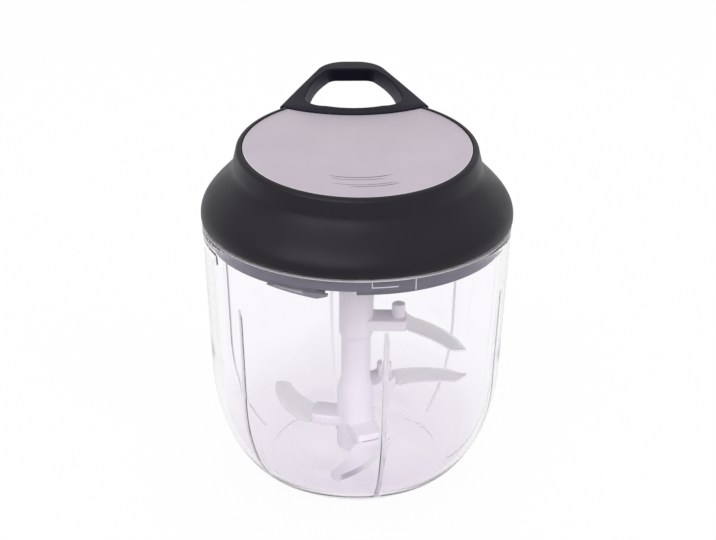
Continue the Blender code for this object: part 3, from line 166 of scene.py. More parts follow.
def make_world():
    """Soft light from all round; the camera, mirrors and clear plastic see it as plain white."""
    world = bpy.data.worlds.new("studio")
    bpy.context.scene.world = world
    world.use_nodes = True
    tree = world.node_tree
    tree.nodes.clear()
    plain = tree.nodes.new("ShaderNodeBackground")
    plain.inputs["Color"].default_value = WORLD_COLOR
    plain.inputs["Strength"].default_value = WORLD_STRENGTH
    path = tree.nodes.new("ShaderNodeLightPath").outputs
    strength = math_node(
        tree, "MULTIPLY_ADD", path["Is Camera Ray"], CAMERA_WHITE - OTHER_WHITE, OTHER_WHITE)
    white = tree.nodes.new("ShaderNodeBackground")
    white.inputs["Color"].default_value = (1, 1, 1, 1)
    tree.links.new(strength, white.inputs["Strength"])
    seen = math_node(tree, "MAXIMUM", path["Is Camera Ray"], path["Is Glossy Ray"])
    share = math_node(tree, "MAXIMUM", seen, path["Is Transmission Ray"])
    output = tree.nodes.new("ShaderNodeOutputWorld")
    tree.links.new(mix_shaders(tree, share, plain, white), output.inputs["Surface"])


def make_lamps():
    for name, (place, target, size, power, mirrored) in LAMPS.items():
        data = bpy.data.lights.new(name, "AREA")
        data.shape = "RECTANGLE"
        data.size, data.size_y = size
        data.energy = power
        lamp = add(name, data)
        lamp.location = place
        lamp.rotation_euler = (Vector(target) - Vector(place)).to_track_quat("-Z", "Y").to_euler()
        lamp.visible_glossy = mirrored
        lamp.visible_transmission = False


# Materials

PLASTIC_IOR = 1.49
VIOLET = (0.84, 0.79, 1.0)


class Look:
    """A Principled material with a few helpers for its procedural detail."""

    def __init__(self, name, color, roughness, **sockets):
        self.material = bpy.data.materials.new(name)
        self.material.use_nodes = True
        self.tree = self.material.node_tree
        self.shader = self.tree.nodes["Principled BSDF"]
        self.color = color
        self.set("Base Color", (*color, 1))
        self.set("Roughness", roughness)
        for socket, value in sockets.items():
            self.set(socket.replace("_", " "), value)

    def set(self, socket, value):
        self.shader.inputs[socket].default_value = value

    def node(self, kind, **inputs):
        made = self.tree.nodes.new(kind)
        for socket, value in inputs.items():
            made.inputs[socket.replace("_", " ")].default_value = value
        return made

    def link(self, value, socket):
        self.tree.links.new(value, socket)

    def coords(self, scale=(1, 1, 1)):
        place = self.node("ShaderNodeTexCoord")
        mapping = self.node("ShaderNodeMapping", Scale=scale)
        self.link(place.outputs["Object"], mapping.inputs["Vector"])
        return mapping.outputs["Vector"]

    def noise(self, scale, detail, stretch=(1, 1, 1)):
        made = self.node("ShaderNodeTexNoise", Scale=scale, Detail=detail)
        self.link(self.coords(stretch), made.inputs["Vector"])
        return made.outputs["Fac"]

    def ramp(self, value, low, high, start=0.3, end=0.7):
        """Map a value between start and end to a range of numbers."""
        made = self.node("ShaderNodeMapRange", From_Min=start, From_Max=end, To_Min=low, To_Max=high)
        self.link(value, made.inputs["Value"])
        return made.outputs["Result"]

    def blend_color(self, value, first, second):
        """Blend the base colour between two by a value, and return the node."""
        made = self.node("ShaderNodeValToRGB")
        first_stop, second_stop = made.color_ramp.elements
        first_stop.color, second_stop.color = (*first, 1), (*second, 1)
        self.link(value, made.inputs["Fac"])
        self.link(made.outputs["Color"], self.shader.inputs["Base Color"])
        return made

    def vary_color(self, value, change):
        """Darken and lighten the base colour by a noise."""
        darker = [c * (1 - change) for c in self.color]
        lighter = [min(c * (1 + change), 1) for c in self.color]
        made = self.blend_color(value, darker, lighter)
        made.color_ramp.elements[0].position = 0.3
        made.color_ramp.elements[1].position = 0.7

    def vary_roughness(self, value, low, high):
        self.link(self.ramp(value, low, high), self.shader.inputs["Roughness"])

    def bump(self, value, depth, strength):
        """Add a bump of a depth in metres."""
        made = self.node("ShaderNodeBump", Distance=depth, Strength=strength)
        self.link(value, made.inputs["Height"])
        self.link(made.outputs["Normal"], self.shader.inputs["Normal"])


def black_plastic(name, grain=2600, roughness=0.42, specular=0.24, tint=(0.93, 0.88, 1.0), blue=0.0092):
    look = Look(name, (0.0075, 0.0068, blue), roughness, Specular_IOR_Level=specular)
    look.set("Specular Tint", (*tint, 1))
    look.bump(look.noise(scale=grain, detail=2), depth=0.00003, strength=0.5)
    look.vary_roughness(look.noise(scale=60, detail=3), roughness - 0.04, roughness + 0.06)
    look.vary_color(look.noise(scale=25, detail=4), change=0.18)
    return look.material


def steel(name, color, roughness, stretch, scale=900, metallic=1.0, contrast=1.0):
    look = Look(name, color, roughness, Metallic=metallic)
    lines = look.noise(scale, 3, stretch)
    look.bump(lines, depth=0.000006, strength=0.6 * contrast)
    look.vary_roughness(lines, roughness - 0.06 * contrast, roughness + 0.08 * contrast)
    look.vary_color(look.noise(scale=40, detail=4), change=0.04)
    return look.material


def satin_plastic(name, color, roughness, scatter=0.0, specular=0.4):
    look = Look(name, color, roughness, Specular_IOR_Level=specular)
    if scatter:
        look.set("Subsurface Weight", scatter)
        look.set("Subsurface Radius", (1.0, 0.9, 1.0))
        look.set("Subsurface Scale", 0.002)
    look.bump(look.noise(scale=900, detail=3), depth=0.00002, strength=0.25)
    look.vary_roughness(look.noise(scale=70, detail=3), roughness - 0.05, roughness + 0.06)
    look.vary_color(look.noise(scale=30, detail=3), change=0.02)
    return look.material


def clear_plastic():
    """The bowl's plastic, a little darker in its floor than in its wall: painted shade, the shadow under
    the bowl seen through its floor.
    """
    look = Look("clear_plastic", (0.975, 0.968, 0.985), 0.015, Transmission_Weight=1.0, IOR=PLASTIC_IOR)
    look.bump(look.noise(scale=14, detail=2), depth=0.0004, strength=0.05)
    look.vary_roughness(look.noise(scale=45, detail=4), 0.0, 0.035)
    place = look.node("ShaderNodeSeparateXYZ")
    look.link(look.coords(), place.inputs[0])
    # Darker towards the bottom: painted shade
    share = look.ramp(place.outputs["Z"], 0, 1, start=0.002, end=0.037)
    tint = look.blend_color(share, (0.848, 0.803, 0.872), look.color)
    tint.color_ramp.interpolation = "EASE"
    return look.material


def frosted_highlight_plastic():
    """A whiter, matt copy of the bowl's plastic, a painted highlight: on the rim, the ribs' crests and
    the strips outside the ramps.
    """
    look = Look("frosted_highlight_plastic", (0.97, 0.95, 0.99), 0.6, Transmission_Weight=0.6, IOR=PLASTIC_IOR)
    look.bump(look.noise(scale=1500, detail=3), depth=0.00003, strength=0.4)
    look.vary_roughness(look.noise(scale=300, detail=3), 0.5, 0.7)
    return look.material


def cord_fibre():
    look = Look("cord_fibre", (0.74, 0.73, 0.70), 0.85, Sheen_Weight=0.3)
    braid = look.node("ShaderNodeTexWave", Scale=520, Distortion=1.5)
    braid.bands_direction = "DIAGONAL"
    look.link(look.coords(), braid.inputs["Vector"])
    look.bump(braid.outputs["Fac"], depth=0.00025, strength=0.8)
    look.vary_color(braid.outputs["Fac"], change=0.12)
    return look.material


def make_materials():
    return {
        "clear": clear_plastic(),
        "frosted_highlight": frosted_highlight_plastic(),
        "lid": black_plastic("lid_plastic"),
        "handle": black_plastic("handle_plastic", 3200, 0.40, specular=0.072, tint=VIOLET, blue=0.0125),
        # A shinier copy of the handle plastic for the window's side walls: painted sheen
        "sheen_wall": black_plastic("sheen_wall_plastic", 3200, 0.5, specular=0.36, tint=VIOLET, blue=0.0125),
        "inner": satin_plastic("inner_plastic", (0.088, 0.079, 0.12), 0.38),
        "hub": satin_plastic("hub_plastic", (0.89, 0.835, 0.91), 0.38, scatter=0.15),
        "works": satin_plastic("works_plastic", (0.72, 0.71, 0.73), 0.42),
        "plate": steel("plate_steel", (0.69, 0.615, 0.70), 0.36, (1, 22, 1), 700),
        "blade": steel("blade_steel", (0.97, 0.93, 0.985), 0.24, (1, 9, 1), metallic=0.62, contrast=0.08),
        # A lighter copy of the plate steel for its rounded edge: a painted highlight
        "edge": steel("plate_edge_highlight", (0.97, 0.95, 0.98), 0.2, (9, 9, 1), 1200),
        # Dark steel for the grip grooves: painted shade in them
        "groove": steel("groove_steel", (0.11, 0.095, 0.11), 0.5, (1, 22, 1), 700),
        "steel": steel("turned_steel", (0.60, 0.60, 0.62), 0.28, (1, 1, 14)),
        "spring": steel("spring_steel", (0.30, 0.31, 0.34), 0.26, (1, 1, 16), 800),
        "lug": satin_plastic("lug_plastic", (0.17, 0.157, 0.20), 0.45),
        "web": satin_plastic("web_plastic", (0.36, 0.34, 0.39), 0.45),
        "seal": satin_plastic("seal_rubber", (0.105, 0.094, 0.145), 0.5, specular=0.3),
        "cord": cord_fibre(),
    }


# Outlines and meshes

def arc(centre, radius, start, end, steps):
    points = []
    for i in range(steps + 1):
        angle = start + (end - start) * i / steps
        points.append((centre[0] + radius * math.cos(angle), centre[1] + radius * math.sin(angle)))
    return points


def circle(radius, steps, centre=(0, 0)):
    return arc(centre, radius, 0, FULL_TURN, steps)[:-1]


def arc_through(first, middle, last, steps):
    a, b, c = Vector(first), Vector(middle), Vector(last)
    ab, bc = b - a, c - b
    turn = ab.cross(bc)
    along = ((b + c) / 2 - (a + b) / 2).dot(bc) / turn
    centre = (a + b) / 2 + Vector((-ab.y, ab.x)) * along
    start = math.atan2(a.y - centre.y, a.x - centre.x)
    end = math.atan2(c.y - centre.y, c.x - centre.x)
    if turn > 0 and end < start:
        end += FULL_TURN
    if turn < 0 and end > start:
        end -= FULL_TURN
    return arc(centre, (a - centre).length, start, end, steps)


def sector(inner, outer, start, span, steps=24):
    return arc((0, 0), outer, start, start + span, steps) + arc((0, 0), inner, start + span, start, steps)


def rectangle(x_low, x_high, y_low, y_high):
    return [(x_low, y_low), (x_high, y_low), (x_high, y_high), (x_low, y_high)]


def mirror(points):
    """The points on the other side of the plane of symmetry, in reverse order."""
    return [(-x, y) for x, y in reversed(points)]


def wrap(angle):
    return (angle + math.pi) % FULL_TURN - math.pi


def turned(degrees):
    return Matrix.Rotation(math.radians(degrees), 4, "Z")


def along_pull(y):
    """The handle's line of travel: Z runs back along the lid's leaning top from a distance y."""
    return TOP @ Matrix.Translation((0, y, -CORD_DROP)) @ Matrix.Rotation(-QUARTER_TURN, 4, "X")


def rounded(points, radii, steps=4):
    """Round the corners of an open (r, z) profile; radii maps the points that get one to its size."""
    result = [points[0]]
    for i in range(1, len(points) - 1):
        here = Vector(points[i])
        before, after = Vector(points[i - 1]) - here, Vector(points[i + 1]) - here
        reach = min(radii.get(i, 0), before.length * 0.45, after.length * 0.45)
        if reach <= 0:
            result.append(tuple(here))
            continue
        start, end = here + before.normalized() * reach, here + after.normalized() * reach
        for k in range(steps + 1):
            t = k / steps
            result.append(tuple(start * (1 - t) ** 2 + here * 2 * t * (1 - t) + end * t ** 2))
    result.append(points[-1])
    return result


def finish_mesh(name, bm, sharp):
    bmesh.ops.recalc_face_normals(bm, faces=bm.faces)
    mesh = bpy.data.meshes.new(name)
    bm.to_mesh(mesh)
    bm.free()
    mesh.transform(Matrix.Scale(MM, 4))
    mesh.shade_smooth()
    mesh.set_sharp_from_angle(angle=math.radians(sharp))
    return mesh


def add(name, data):
    item = bpy.data.objects.new(name, data)
    bpy.context.scene.collection.objects.link(item)
    return item


def solid(name, build, sharp=34):
    """Make an object from a function that fills a bmesh."""
    bm = bmesh.new()
    build(bm)
    return add(name, finish_mesh(name, bm, sharp))


def lathe(bm, profile, steps, lean=None, matrix=None):
    """Turn an (r, z) profile: one that starts and ends on the axis, or a closed loop."""
    rings = []
    for radius, height in profile:
        points = [(0.0, 0.0)] if radius == 0 else circle(radius, steps)
        ring = []
        for x, y in points:
            point = Vector((x, y, height + (lean(height, y) if lean else 0)))
            ring.append(bm.verts.new(matrix @ point if matrix else point))
        rings.append(ring)
    pairs = list(zip(rings, rings[1:]))
    if profile[0][0] != 0:
        pairs.append((rings[-1], rings[0]))
    for low, high in pairs:
        for i in range(steps):
            j = (i + 1) % steps
            corners = [low[i % len(low)], low[j % len(low)], high[j % len(high)], high[i % len(high)]]
            unique = list(dict.fromkeys(corners))
            if len(unique) > 2:
                bm.faces.new(unique)


def loft(bm, rings):
    """Join rings of vertices into a solid with flat ends."""
    count = len(rings[0])
    for low, high in zip(rings, rings[1:]):
        for i in range(count):
            j = (i + 1) % count
            bm.faces.new((low[i], low[j], high[j], high[i]))
    bm.faces.new(list(reversed(rings[0])))
    bm.faces.new(rings[-1])


def prism(bm, outline, low, high, matrix=None):
    """A solid between two ends, each a height or a function of x and y that gives one."""
    layers = []
    for end in (low, high):
        points = [Vector((x, y, end(x, y) if callable(end) else end)) for x, y in outline]
        layers.append([bm.verts.new(matrix @ point if matrix else point) for point in points])
    loft(bm, layers)


def paint_faces(bm, index):
    for face in bm.faces:
        face.material_index = index


def give_slots(items, materials):
    """Give a solid and its tools the same slots, so that a Boolean keeps each face's own."""
    for item in items:
        for material in materials:
            item.data.materials.append(material)


def carve(target, steps, sharp=34):
    """Apply Boolean steps, each an operation and a tool object, and remove the tools."""
    for operation, tool in steps:
        modifier = target.modifiers.new("step", "BOOLEAN")
        modifier.operation = operation
        modifier.solver = "EXACT"
        modifier.object = tool
    bake(target, sharp)
    for _, tool in steps:
        bpy.data.objects.remove(tool, do_unlink=True)


def evaluated_mesh(item):
    bpy.context.view_layer.update()
    graph = bpy.context.evaluated_depsgraph_get()
    return bpy.data.meshes.new_from_object(item.evaluated_get(graph))


def bake(target, sharp):
    """Put a solid's modifiers into its mesh."""
    mesh = evaluated_mesh(target)
    target.modifiers.clear()
    old = target.data
    target.data = mesh
    bpy.data.meshes.remove(old)
    mesh.name = target.name
    mesh.shade_smooth()
    mesh.set_sharp_from_angle(angle=math.radians(sharp))


def soften(target, width, angle):
    """Round a finished solid's edges where its faces meet at more than an angle in degrees."""
    modifier = target.modifiers.new("soften", "BEVEL")
    modifier.width = width * MM
    modifier.segments = 2
    modifier.limit_method = "ANGLE"
    modifier.angle_limit = math.radians(angle)
    bake(target, angle)


def dress(piece, body, materials, slot, *nodes):
    """Give a piece its materials, its body and the CAD nodes that it stands for."""
    indices = [min(face.material_index, len(materials) - 1) for face in piece.data.polygons]
    piece.data.materials.clear()
    give_slots([piece], materials)
    piece.data.polygons.foreach_set("material_index", indices)
    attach(piece, body)
    if nodes:
        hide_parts(*nodes)


# Bowl

BOWL_FULLNESS = 0.66
BOWL_SIDES = 180
CURVE_ROWS = 30

RIB_ANGLES = [math.radians(-81 + 60 * i) for i in range(6)]
RIB_TOP = BOWL_HEIGHT - 23
# RIB_CREST is the half width of the painted highlight along each rib's crest
RIB_HALF_WIDTH, RIB_CREST = 1.5, 0.8
FRONT_RIB_HEIGHT, RIB_HEIGHT = 0.3, 0.14
RIB_FADE, RIB_FOOT_SHARE = 5, 0.35
RIB_STEPS, RIB_STEPS_RADIUS = [i / 4 for i in range(-6, 7)], 55

RAMP_STARTS = [math.radians(-92 + 90 * i) for i in range(4)]
RAMP_SPAN = math.radians(26)
STOP_SPAN = math.radians(1.8)
RAMP_LOW, RAMP_HIGH, STOP_LOW = 102.8, 103.9, 100.3
RAMP_RADIUS = 60.2
RAMP_EDGE, RAMP_EDGE_ANGLE, LEAST_ANGLE = 0.5, 0.004, 0.0008

# The bowl's rings from the middle of its foot to the curve of its wall, as radius and height
FOOT_RECESS = 0.5
FOOT_RINGS = (
    (20, FOOT_RECESS), (33.5, FOOT_RECESS), (34.3, 0.44), (35.2, 0.25), (36.1, 0.06), (36.9, 0.0),
    (38.4, 0),
)
OUTER_ROWS = (60, 75, 90, 100, 106)
RIM_ROUNDING, RIM_INNER_ROUNDING = 0.22, 0.5
INNER_ROWS = (
    106.5, RAMP_HIGH + RAMP_EDGE, RAMP_HIGH, RAMP_LOW, RAMP_LOW - RAMP_EDGE, STOP_LOW,
    STOP_LOW - RAMP_EDGE, 96, RIB_TOP + 0.5, RIB_TOP, RIB_TOP - 1.7, RIB_TOP - 3.4, RIB_TOP - RIB_FADE,
    75, 68, 60, 54,
)
FLOOR_RINGS = (37.4, 30, 20, 10, 3.6)
PIN_HOLE_RADIUS, PIN_HOLE_FLOOR = 3.3, 1.0

GLINT_INNER, GLINT_OUTER = 62.6, 63.08
# Thin frosted strips outside each ramp, painted highlights where its edges glint: start and span in
# degrees, bottom, top and steps
RAMP_GLINTS = (
    (-86.93, 0.26, 107.0, 109.1, 2), (-86.93, 9.4, 106.75, 107.02, 18), (-71.33, 0.26, 104.5, 109.1, 2),
)

PIN_PROFILE = rounded([(0, 1.3), (3, 1.3), (3, 28), (0, 28)], {1: 0.3, 2: 2.4}, 6)


def round_share(share):
    return (1 - (1 - share) ** 2) ** BOWL_FULLNESS


def bowl_outer(z):
    if z >= WAIST:
        return WAIST_RADIUS + (RIM_RADIUS - WAIST_RADIUS) * (z - WAIST) / (BOWL_HEIGHT - WAIST)
    return FOOT_RADIUS + (WAIST_RADIUS - FOOT_RADIUS) * round_share(z / WAIST)


def bowl_inner(z):
    if z >= WAIST:
        return bowl_outer(z) - BOWL_WALL
    share = max((z - FLOOR) / (WAIST - FLOOR), 0)
    return FOOT_RADIUS + (WAIST_RADIUS - BOWL_WALL - FOOT_RADIUS) * round_share(share)


def curve_rows(bottom):
    """Heights from the bottom to the waist, closest together at the bottom."""
    shares = [1 - math.cos(QUARTER_TURN * i / CURVE_ROWS) for i in range(CURVE_ROWS + 1)]
    return [bottom + (WAIST - bottom) * share for share in shares]


def rib_offset(angle):
    return min(abs(wrap(angle - rib)) for rib in RIB_ANGLES)


def rib_height(angle, z):
    """How far a rib stands in from the wall here."""
    if z > RIB_TOP:
        return 0
    across = rib_offset(angle) * bowl_inner(z)
    if across > RIB_HALF_WIDTH:
        return 0
    front = abs(wrap(angle - RIB_ANGLES[0])) < 0.1
    fade = min(1, (RIB_TOP - z) / RIB_FADE, RIB_FOOT_SHARE + max(z - 8, 0) / 30)
    swell = 1 + math.cos(math.pi * across / RIB_HALF_WIDTH)
    return (FRONT_RIB_HEIGHT if front else RIB_HEIGHT) * fade * swell


def in_ramp(angle, z):
    for start in RAMP_STARTS:
        turn = (angle - start) % FULL_TURN
        if turn <= RAMP_SPAN and RAMP_LOW <= z <= RAMP_HIGH:
            return True
        if RAMP_SPAN - STOP_SPAN <= turn <= RAMP_SPAN and STOP_LOW <= z <= RAMP_HIGH:
            return True
    return False


def inner_radius(angle, z):
    if in_ramp(angle, z):
        return RAMP_RADIUS
    return bowl_inner(z) - rib_height(angle, z)


def bowl_angles():
    """Even angles, with closer ones across the ribs and at both sides of each ramp's edges."""
    angles = [FULL_TURN * i / BOWL_SIDES for i in range(BOWL_SIDES)]
    for rib in RIB_ANGLES:
        angles += [(rib + offset / RIB_STEPS_RADIUS) % FULL_TURN for offset in RIB_STEPS]
    for start in RAMP_STARTS:
        for edge in (start, start + RAMP_SPAN - STOP_SPAN, start + RAMP_SPAN):
            angles += [(edge + side) % FULL_TURN for side in (-RAMP_EDGE_ANGLE, RAMP_EDGE_ANGLE)]
    angles.sort()
    kept = [angles[0]]
    for angle in angles[1:]:
        if angle - kept[-1] > LEAST_ANGLE:
            kept.append(angle)
    return kept


def build_bowl(bm):
    """A closed grid: up the outside, over the rim, and down the inside with its ribs and ramps."""
    angles = bowl_angles()
    rings = []

    def ring(radius, z):
        made = []
        for angle in angles:
            r = radius(angle, z) if callable(radius) else radius
            made.append(bm.verts.new((r * math.cos(angle), r * math.sin(angle), z)))
        rings.append(made)

    foot_centre = bm.verts.new((0, 0, FOOT_RECESS))
    for radius, z in FOOT_RINGS:
        ring(radius, z)
    for z in (*curve_rows(0)[1:], *OUTER_ROWS):
        ring(bowl_outer(z), z)
    rim_start = len(rings)
    outer, inner = RIM_ROUNDING, RIM_INNER_ROUNDING
    inside = RIM_RADIUS - BOWL_WALL
    rim = arc((RIM_RADIUS - outer, BOWL_HEIGHT - outer), outer, 0, QUARTER_TURN, 5)
    rim += arc((inside + inner, BOWL_HEIGHT - inner), inner, QUARTER_TURN, math.pi, 4)
    for radius, z in rim:
        ring(radius, z)
    rim_end = len(rings) - 1
    for z in (*INNER_ROWS, *reversed(curve_rows(FLOOR))):
        ring(inner_radius, z)
    for radius in (*FLOOR_RINGS, PIN_HOLE_RADIUS):
        ring(radius, FLOOR)
    ring(PIN_HOLE_RADIUS, PIN_HOLE_FLOOR)
    hole_centre = bm.verts.new((0, 0, PIN_HOLE_FLOOR))
    count = len(angles)
    for number, (low, high) in enumerate(zip(rings, rings[1:])):
        for i in range(count):
            j = (i + 1) % count
            face = bm.faces.new((low[i], low[j], high[j], high[i]))
            centre = face.calc_center_median()
            crest = rib_offset(math.atan2(centre.y, centre.x)) * centre.xy.length < RIB_CREST
            on_rib = number > rim_end and crest and FLOOR + 1 < centre.z < RIB_TOP
            # The rim and the ribs' crests take the frosted copy of the plastic: painted highlights along
            # them
            if rim_start <= number < rim_end or on_rib:
                face.material_index = 1
    for i in range(count):
        j = (i + 1) % count
        bm.faces.new((foot_centre, rings[0][j], rings[0][i]))
        bm.faces.new((hole_centre, rings[-1][i], rings[-1][j]))


def build_glints(bm):
    """Thin frosted strips outside each locking ramp: painted highlights where the ramps' edges glint."""
    for i in range(4):
        for start, span, bottom, top, steps in RAMP_GLINTS:
            first, length = math.radians(start + 90 * i), math.radians(span)
            prism(bm, sector(GLINT_INNER, GLINT_OUTER, first, length, steps), bottom, top)


def make_bowl(looks):
    bowl = solid("clear_bowl", build_bowl, 38)
    dress(bowl, "bowl", [looks["clear"], looks["frosted_highlight"]], "clear_bowl", "bowl")
    bowl.visible_shadow = False
    # Frosted strips outside the ramps: painted highlights of their edges
    dress(solid("ramp_glints", build_glints), "bowl", [looks["frosted_highlight"]], "clear_bowl")
    pin = solid("pivot_pin", lambda bm: lathe(bm, PIN_PROFILE, 48))
    dress(pin, "bowl", [looks["steel"]], "steel", "bowl_pivot_pin")


# Blade shaft and blades

# Each blade's name, angle in degrees, height, reach to its root and rise in degrees, and whether its arm
# has a peg on top, in place of a web below
BLADES = [
    ("blade_top", -2.2, 61.5, 21.7, 0, True),
    ("blade_middle", 36.5, 28.8, 19.0, 12.4, True),
    ("blade_low", 166, 15.2, 19.0, 0, False),
    ("blade_bottom", -70, 14.0, 19.0, 0, False),
]

BORE_RADIUS, BORE_TOP = 3.4, 28.3
SHAFT_PROFILE = rounded([
    (0, BORE_TOP), (BORE_RADIUS, BORE_TOP), (BORE_RADIUS, 3.6), (7.85, 3.6), (7.85, 31.1), (6.2, 36),
    (6.2, 56), (7.2, 58), (7.2, 100.7), (5.2, 100.7), (5.2, 91.2), (0, 91.2),
], {3: 0.8, 4: 3, 5: 3, 6: 1.0, 7: 1.0, 8: 0.5, 9: 0.3})
BORE_PROFILE = [(0, FLOOR), (BORE_RADIUS, FLOOR), (BORE_RADIUS, BORE_TOP), (0, BORE_TOP)]
DOG_INNER, DOG_OUTER, DOG_LOW, DOG_HIGH = 3.6, 6.2, 90.4, 99.2

# The arms, pegs and webs, along X from the shaft's axis; heights are from the blade's flat underside
ARM_START, ARM_END_GAP, ARM_HALF_WIDTH = 2.0, 0.3, 6.0
ARM_BELOW, ARM_ABOVE = 0.9, 3.9
ARM_ROUNDING, ARM_END_ROUNDING = 0.7, 2.2
PEG_RADIUS, PEG_INSET, PEG_LOW, PEG_HIGH, PEG_ROUNDING = 2.75, 3.9, 2, 9.6, 0.7
WEB_START, WEB_END_GAP, WEB_HALF_WIDTH, WEB_DEPTH = 4.8, 8.5, 1.5, 7.5
SLOT_LENGTH, SLOT_HALF_WIDTH, SLOT_LOW, SLOT_HIGH = 8.8, 4.3, -0.3, 1.3

# The blade from root to tip: three points on its convex edge, three on its back, its tip and its tang
BLADE_EDGE = ((0, 8.05), (11.29, -0.8), (22.8, -24.2))
BLADE_BACK = ((15.8, -24.2), (8.67, -15.0), (0, -8.05))
TIP_CENTRE, TIP_RADII = (19.3, -24.2), (3.5, 1.4)
TANG = [(-0.6, -4.0), (-8.5, -4.0), (-8.5, 4.0), (-0.6, 4.0)]
BLADE_THICKNESS, EDGE_BREAK = 1.0, 0.06
# Its layers from below: whether the convex edge is ground there, how far it is drawn in, and the height
BLADE_LAYERS = (
    (False, EDGE_BREAK, 0.0), (False, 0.0, EDGE_BREAK), (True, 0.0, 0.10), (True, 0.95, 0.52),
    (True, 2.0, 0.93), (True, 2.12, BLADE_THICKNESS),
)


def shaft_arm(bm, angle, height, reach):
    """An arm with rounded edges and, seen from above, a rounded end."""
    radius = ARM_END_ROUNDING
    x, y = reach - ARM_END_GAP - radius, ARM_HALF_WIDTH - radius
    outline = [(ARM_START, -ARM_HALF_WIDTH)]
    outline += arc((x, -y), radius, -QUARTER_TURN, 0, 6) + arc((x, y), radius, 0, QUARTER_TURN, 6)
    outline += [(ARM_START, ARM_HALF_WIDTH)]
    prism(bm, outline, height - ARM_BELOW, height + ARM_ABOVE)
    bmesh.ops.recalc_face_normals(bm, faces=bm.faces)
    level_edges = [e for e in bm.edges if abs(e.verts[0].co.z - e.verts[1].co.z) < 1e-6]
    bmesh.ops.bevel(bm, geom=level_edges, offset=ARM_ROUNDING, segments=3, profile=0.5, affect="EDGES")
    bm.transform(turned(angle))


def shaft_peg(bm, angle, height, reach):
    low, high = height + PEG_LOW, height + PEG_HIGH
    profile = rounded([(0, low), (PEG_RADIUS, low), (PEG_RADIUS, high), (0, high)], {2: PEG_ROUNDING})
    lathe(bm, profile, 40, matrix=turned(angle) @ Matrix.Translation((reach - PEG_INSET, 0, 0)))


def shaft_web(bm, angle, height, reach):
    end = reach - WEB_END_GAP

    def underside(x, y):
        share = min(max((x - WEB_START) / (end - WEB_START), 0), 1)
        return height - ARM_BELOW - WEB_DEPTH * (1 - share)

    outline = rectangle(WEB_START, end, -WEB_HALF_WIDTH, WEB_HALF_WIDTH)
    prism(bm, outline, underside, height, turned(angle))


def shaft_slots(bm):
    for _, angle, height, reach, _, _ in BLADES:
        outline = rectangle(reach - SLOT_LENGTH, reach + 2, -SLOT_HALF_WIDTH, SLOT_HALF_WIDTH)
        prism(bm, outline, height + SLOT_LOW, height + SLOT_HIGH, turned(angle))


def shaft_dogs(bm):
    for side in (0, math.pi):
        prism(bm, sector(DOG_INNER, DOG_OUTER, side - math.pi / 6, math.pi / 3), DOG_LOW, DOG_HIGH)


def make_shaft(looks):
    shaft = solid("shaft", lambda bm: lathe(bm, SHAFT_PROFILE, 96))
    steps = []
    for name, angle, height, reach, _, has_peg in BLADES:
        support = shaft_peg if has_peg else shaft_web
        for part, build in (("arm", shaft_arm), ("support", support)):
            steps.append(("UNION", solid(f"{name}_{part}", lambda bm: build(bm, angle, height, reach))))
    steps.append(("UNION", solid("shaft_dogs", shaft_dogs)))
    steps.append(("DIFFERENCE", solid("shaft_bore", lambda bm: lathe(bm, BORE_PROFILE, 48))))
    steps.append(("DIFFERENCE", solid("shaft_slots", shaft_slots)))
    carve(shaft, steps, 30)
    dress(shaft, "blades", [looks["hub"]], "white_plastic", "blade_shaft")


def build_blade(bm, rise):
    """The pressed blade: flat below, with a hollow-ground bevel along its convex edge above."""
    convex = arc_through(*BLADE_EDGE, 28)
    (x, y), (across, along) = TIP_CENTRE, TIP_RADII
    tip = []
    for i in range(1, 10):
        angle = math.pi * i / 10
        tip.append((x + across * math.cos(angle), y - along * math.sin(angle)))
    outline = convex + tip + arc_through(*BLADE_BACK, 24) + TANG
    count = len(outline)
    slope = math.tan(math.radians(rise))

    def inward(i, distance):
        before = (Vector(outline[i]) - Vector(outline[i - 1])).normalized()
        after = (Vector(outline[(i + 1) % count]) - Vector(outline[i])).normalized()
        normal = Vector((before.y, -before.x)) + Vector((after.y, -after.x))
        normal.normalize()
        return Vector(outline[i]) + normal * distance

    rings = []
    for ground, depth, height in BLADE_LAYERS:
        top = height == BLADE_THICKNESS
        plain_inset = EDGE_BREAK if top else 0.0
        plain_height = height if top else BLADE_THICKNESS - EDGE_BREAK
        ring = []
        for i in range(count):
            share = 0
            if ground and i < len(convex):
                share = min(1, i / 3, (len(convex) - 1 - i) / 3 + 0.3)
            point = inward(i, max(depth * share, plain_inset) if ground else depth)
            z = height if share or not ground else plain_height
            ring.append(bm.verts.new((point.x, point.y, z + max(point.x, 0) * slope)))
        rings.append(ring)
    loft(bm, rings)


def make_blades(looks):
    for name, angle, height, reach, rise, _ in BLADES:
        blade = solid(f"{name}_ground", lambda bm: build_blade(bm, rise), 20)
        blade.data.transform(turned(angle) @ Matrix.Translation((reach * MM, 0, height * MM)))
        dress(blade, "blades", [looks["blade"]], "blade_steel", name)


# Lid

# The dome's curve in height above the bowl, and its radii outside and in the cavity
DOME_START, DOME_RISE, DOME_POWER = 3.5, 20.5, 1.15
DOME_SHOULDER, DOME_NECK = 63.4, 50.2
CAVITY_SHOULDER, CAVITY_NECK = 61.2, 48.0
DOME_FOOT = [(60.6, 109.8), (61.6, 109.8), (DOME_SHOULDER, 111.6), (DOME_SHOULDER, 113.2)]
DOME_FOOT_ROUNDINGS = {1: 0.8, 2: 1.2}
TOP_RADIUS, TOP_ROUNDING = 49.0, 2.0
RECESS_RADIUS, RECESS_DEPTH = 46.5, 1.5
CAVITY_FOOT = [(0, 107), (58.6, 107), (59.1, 109.8), (61.2, 111.7)]
CAVITY_ROOF = [(46.8, 136.9), (0, 136.9)]

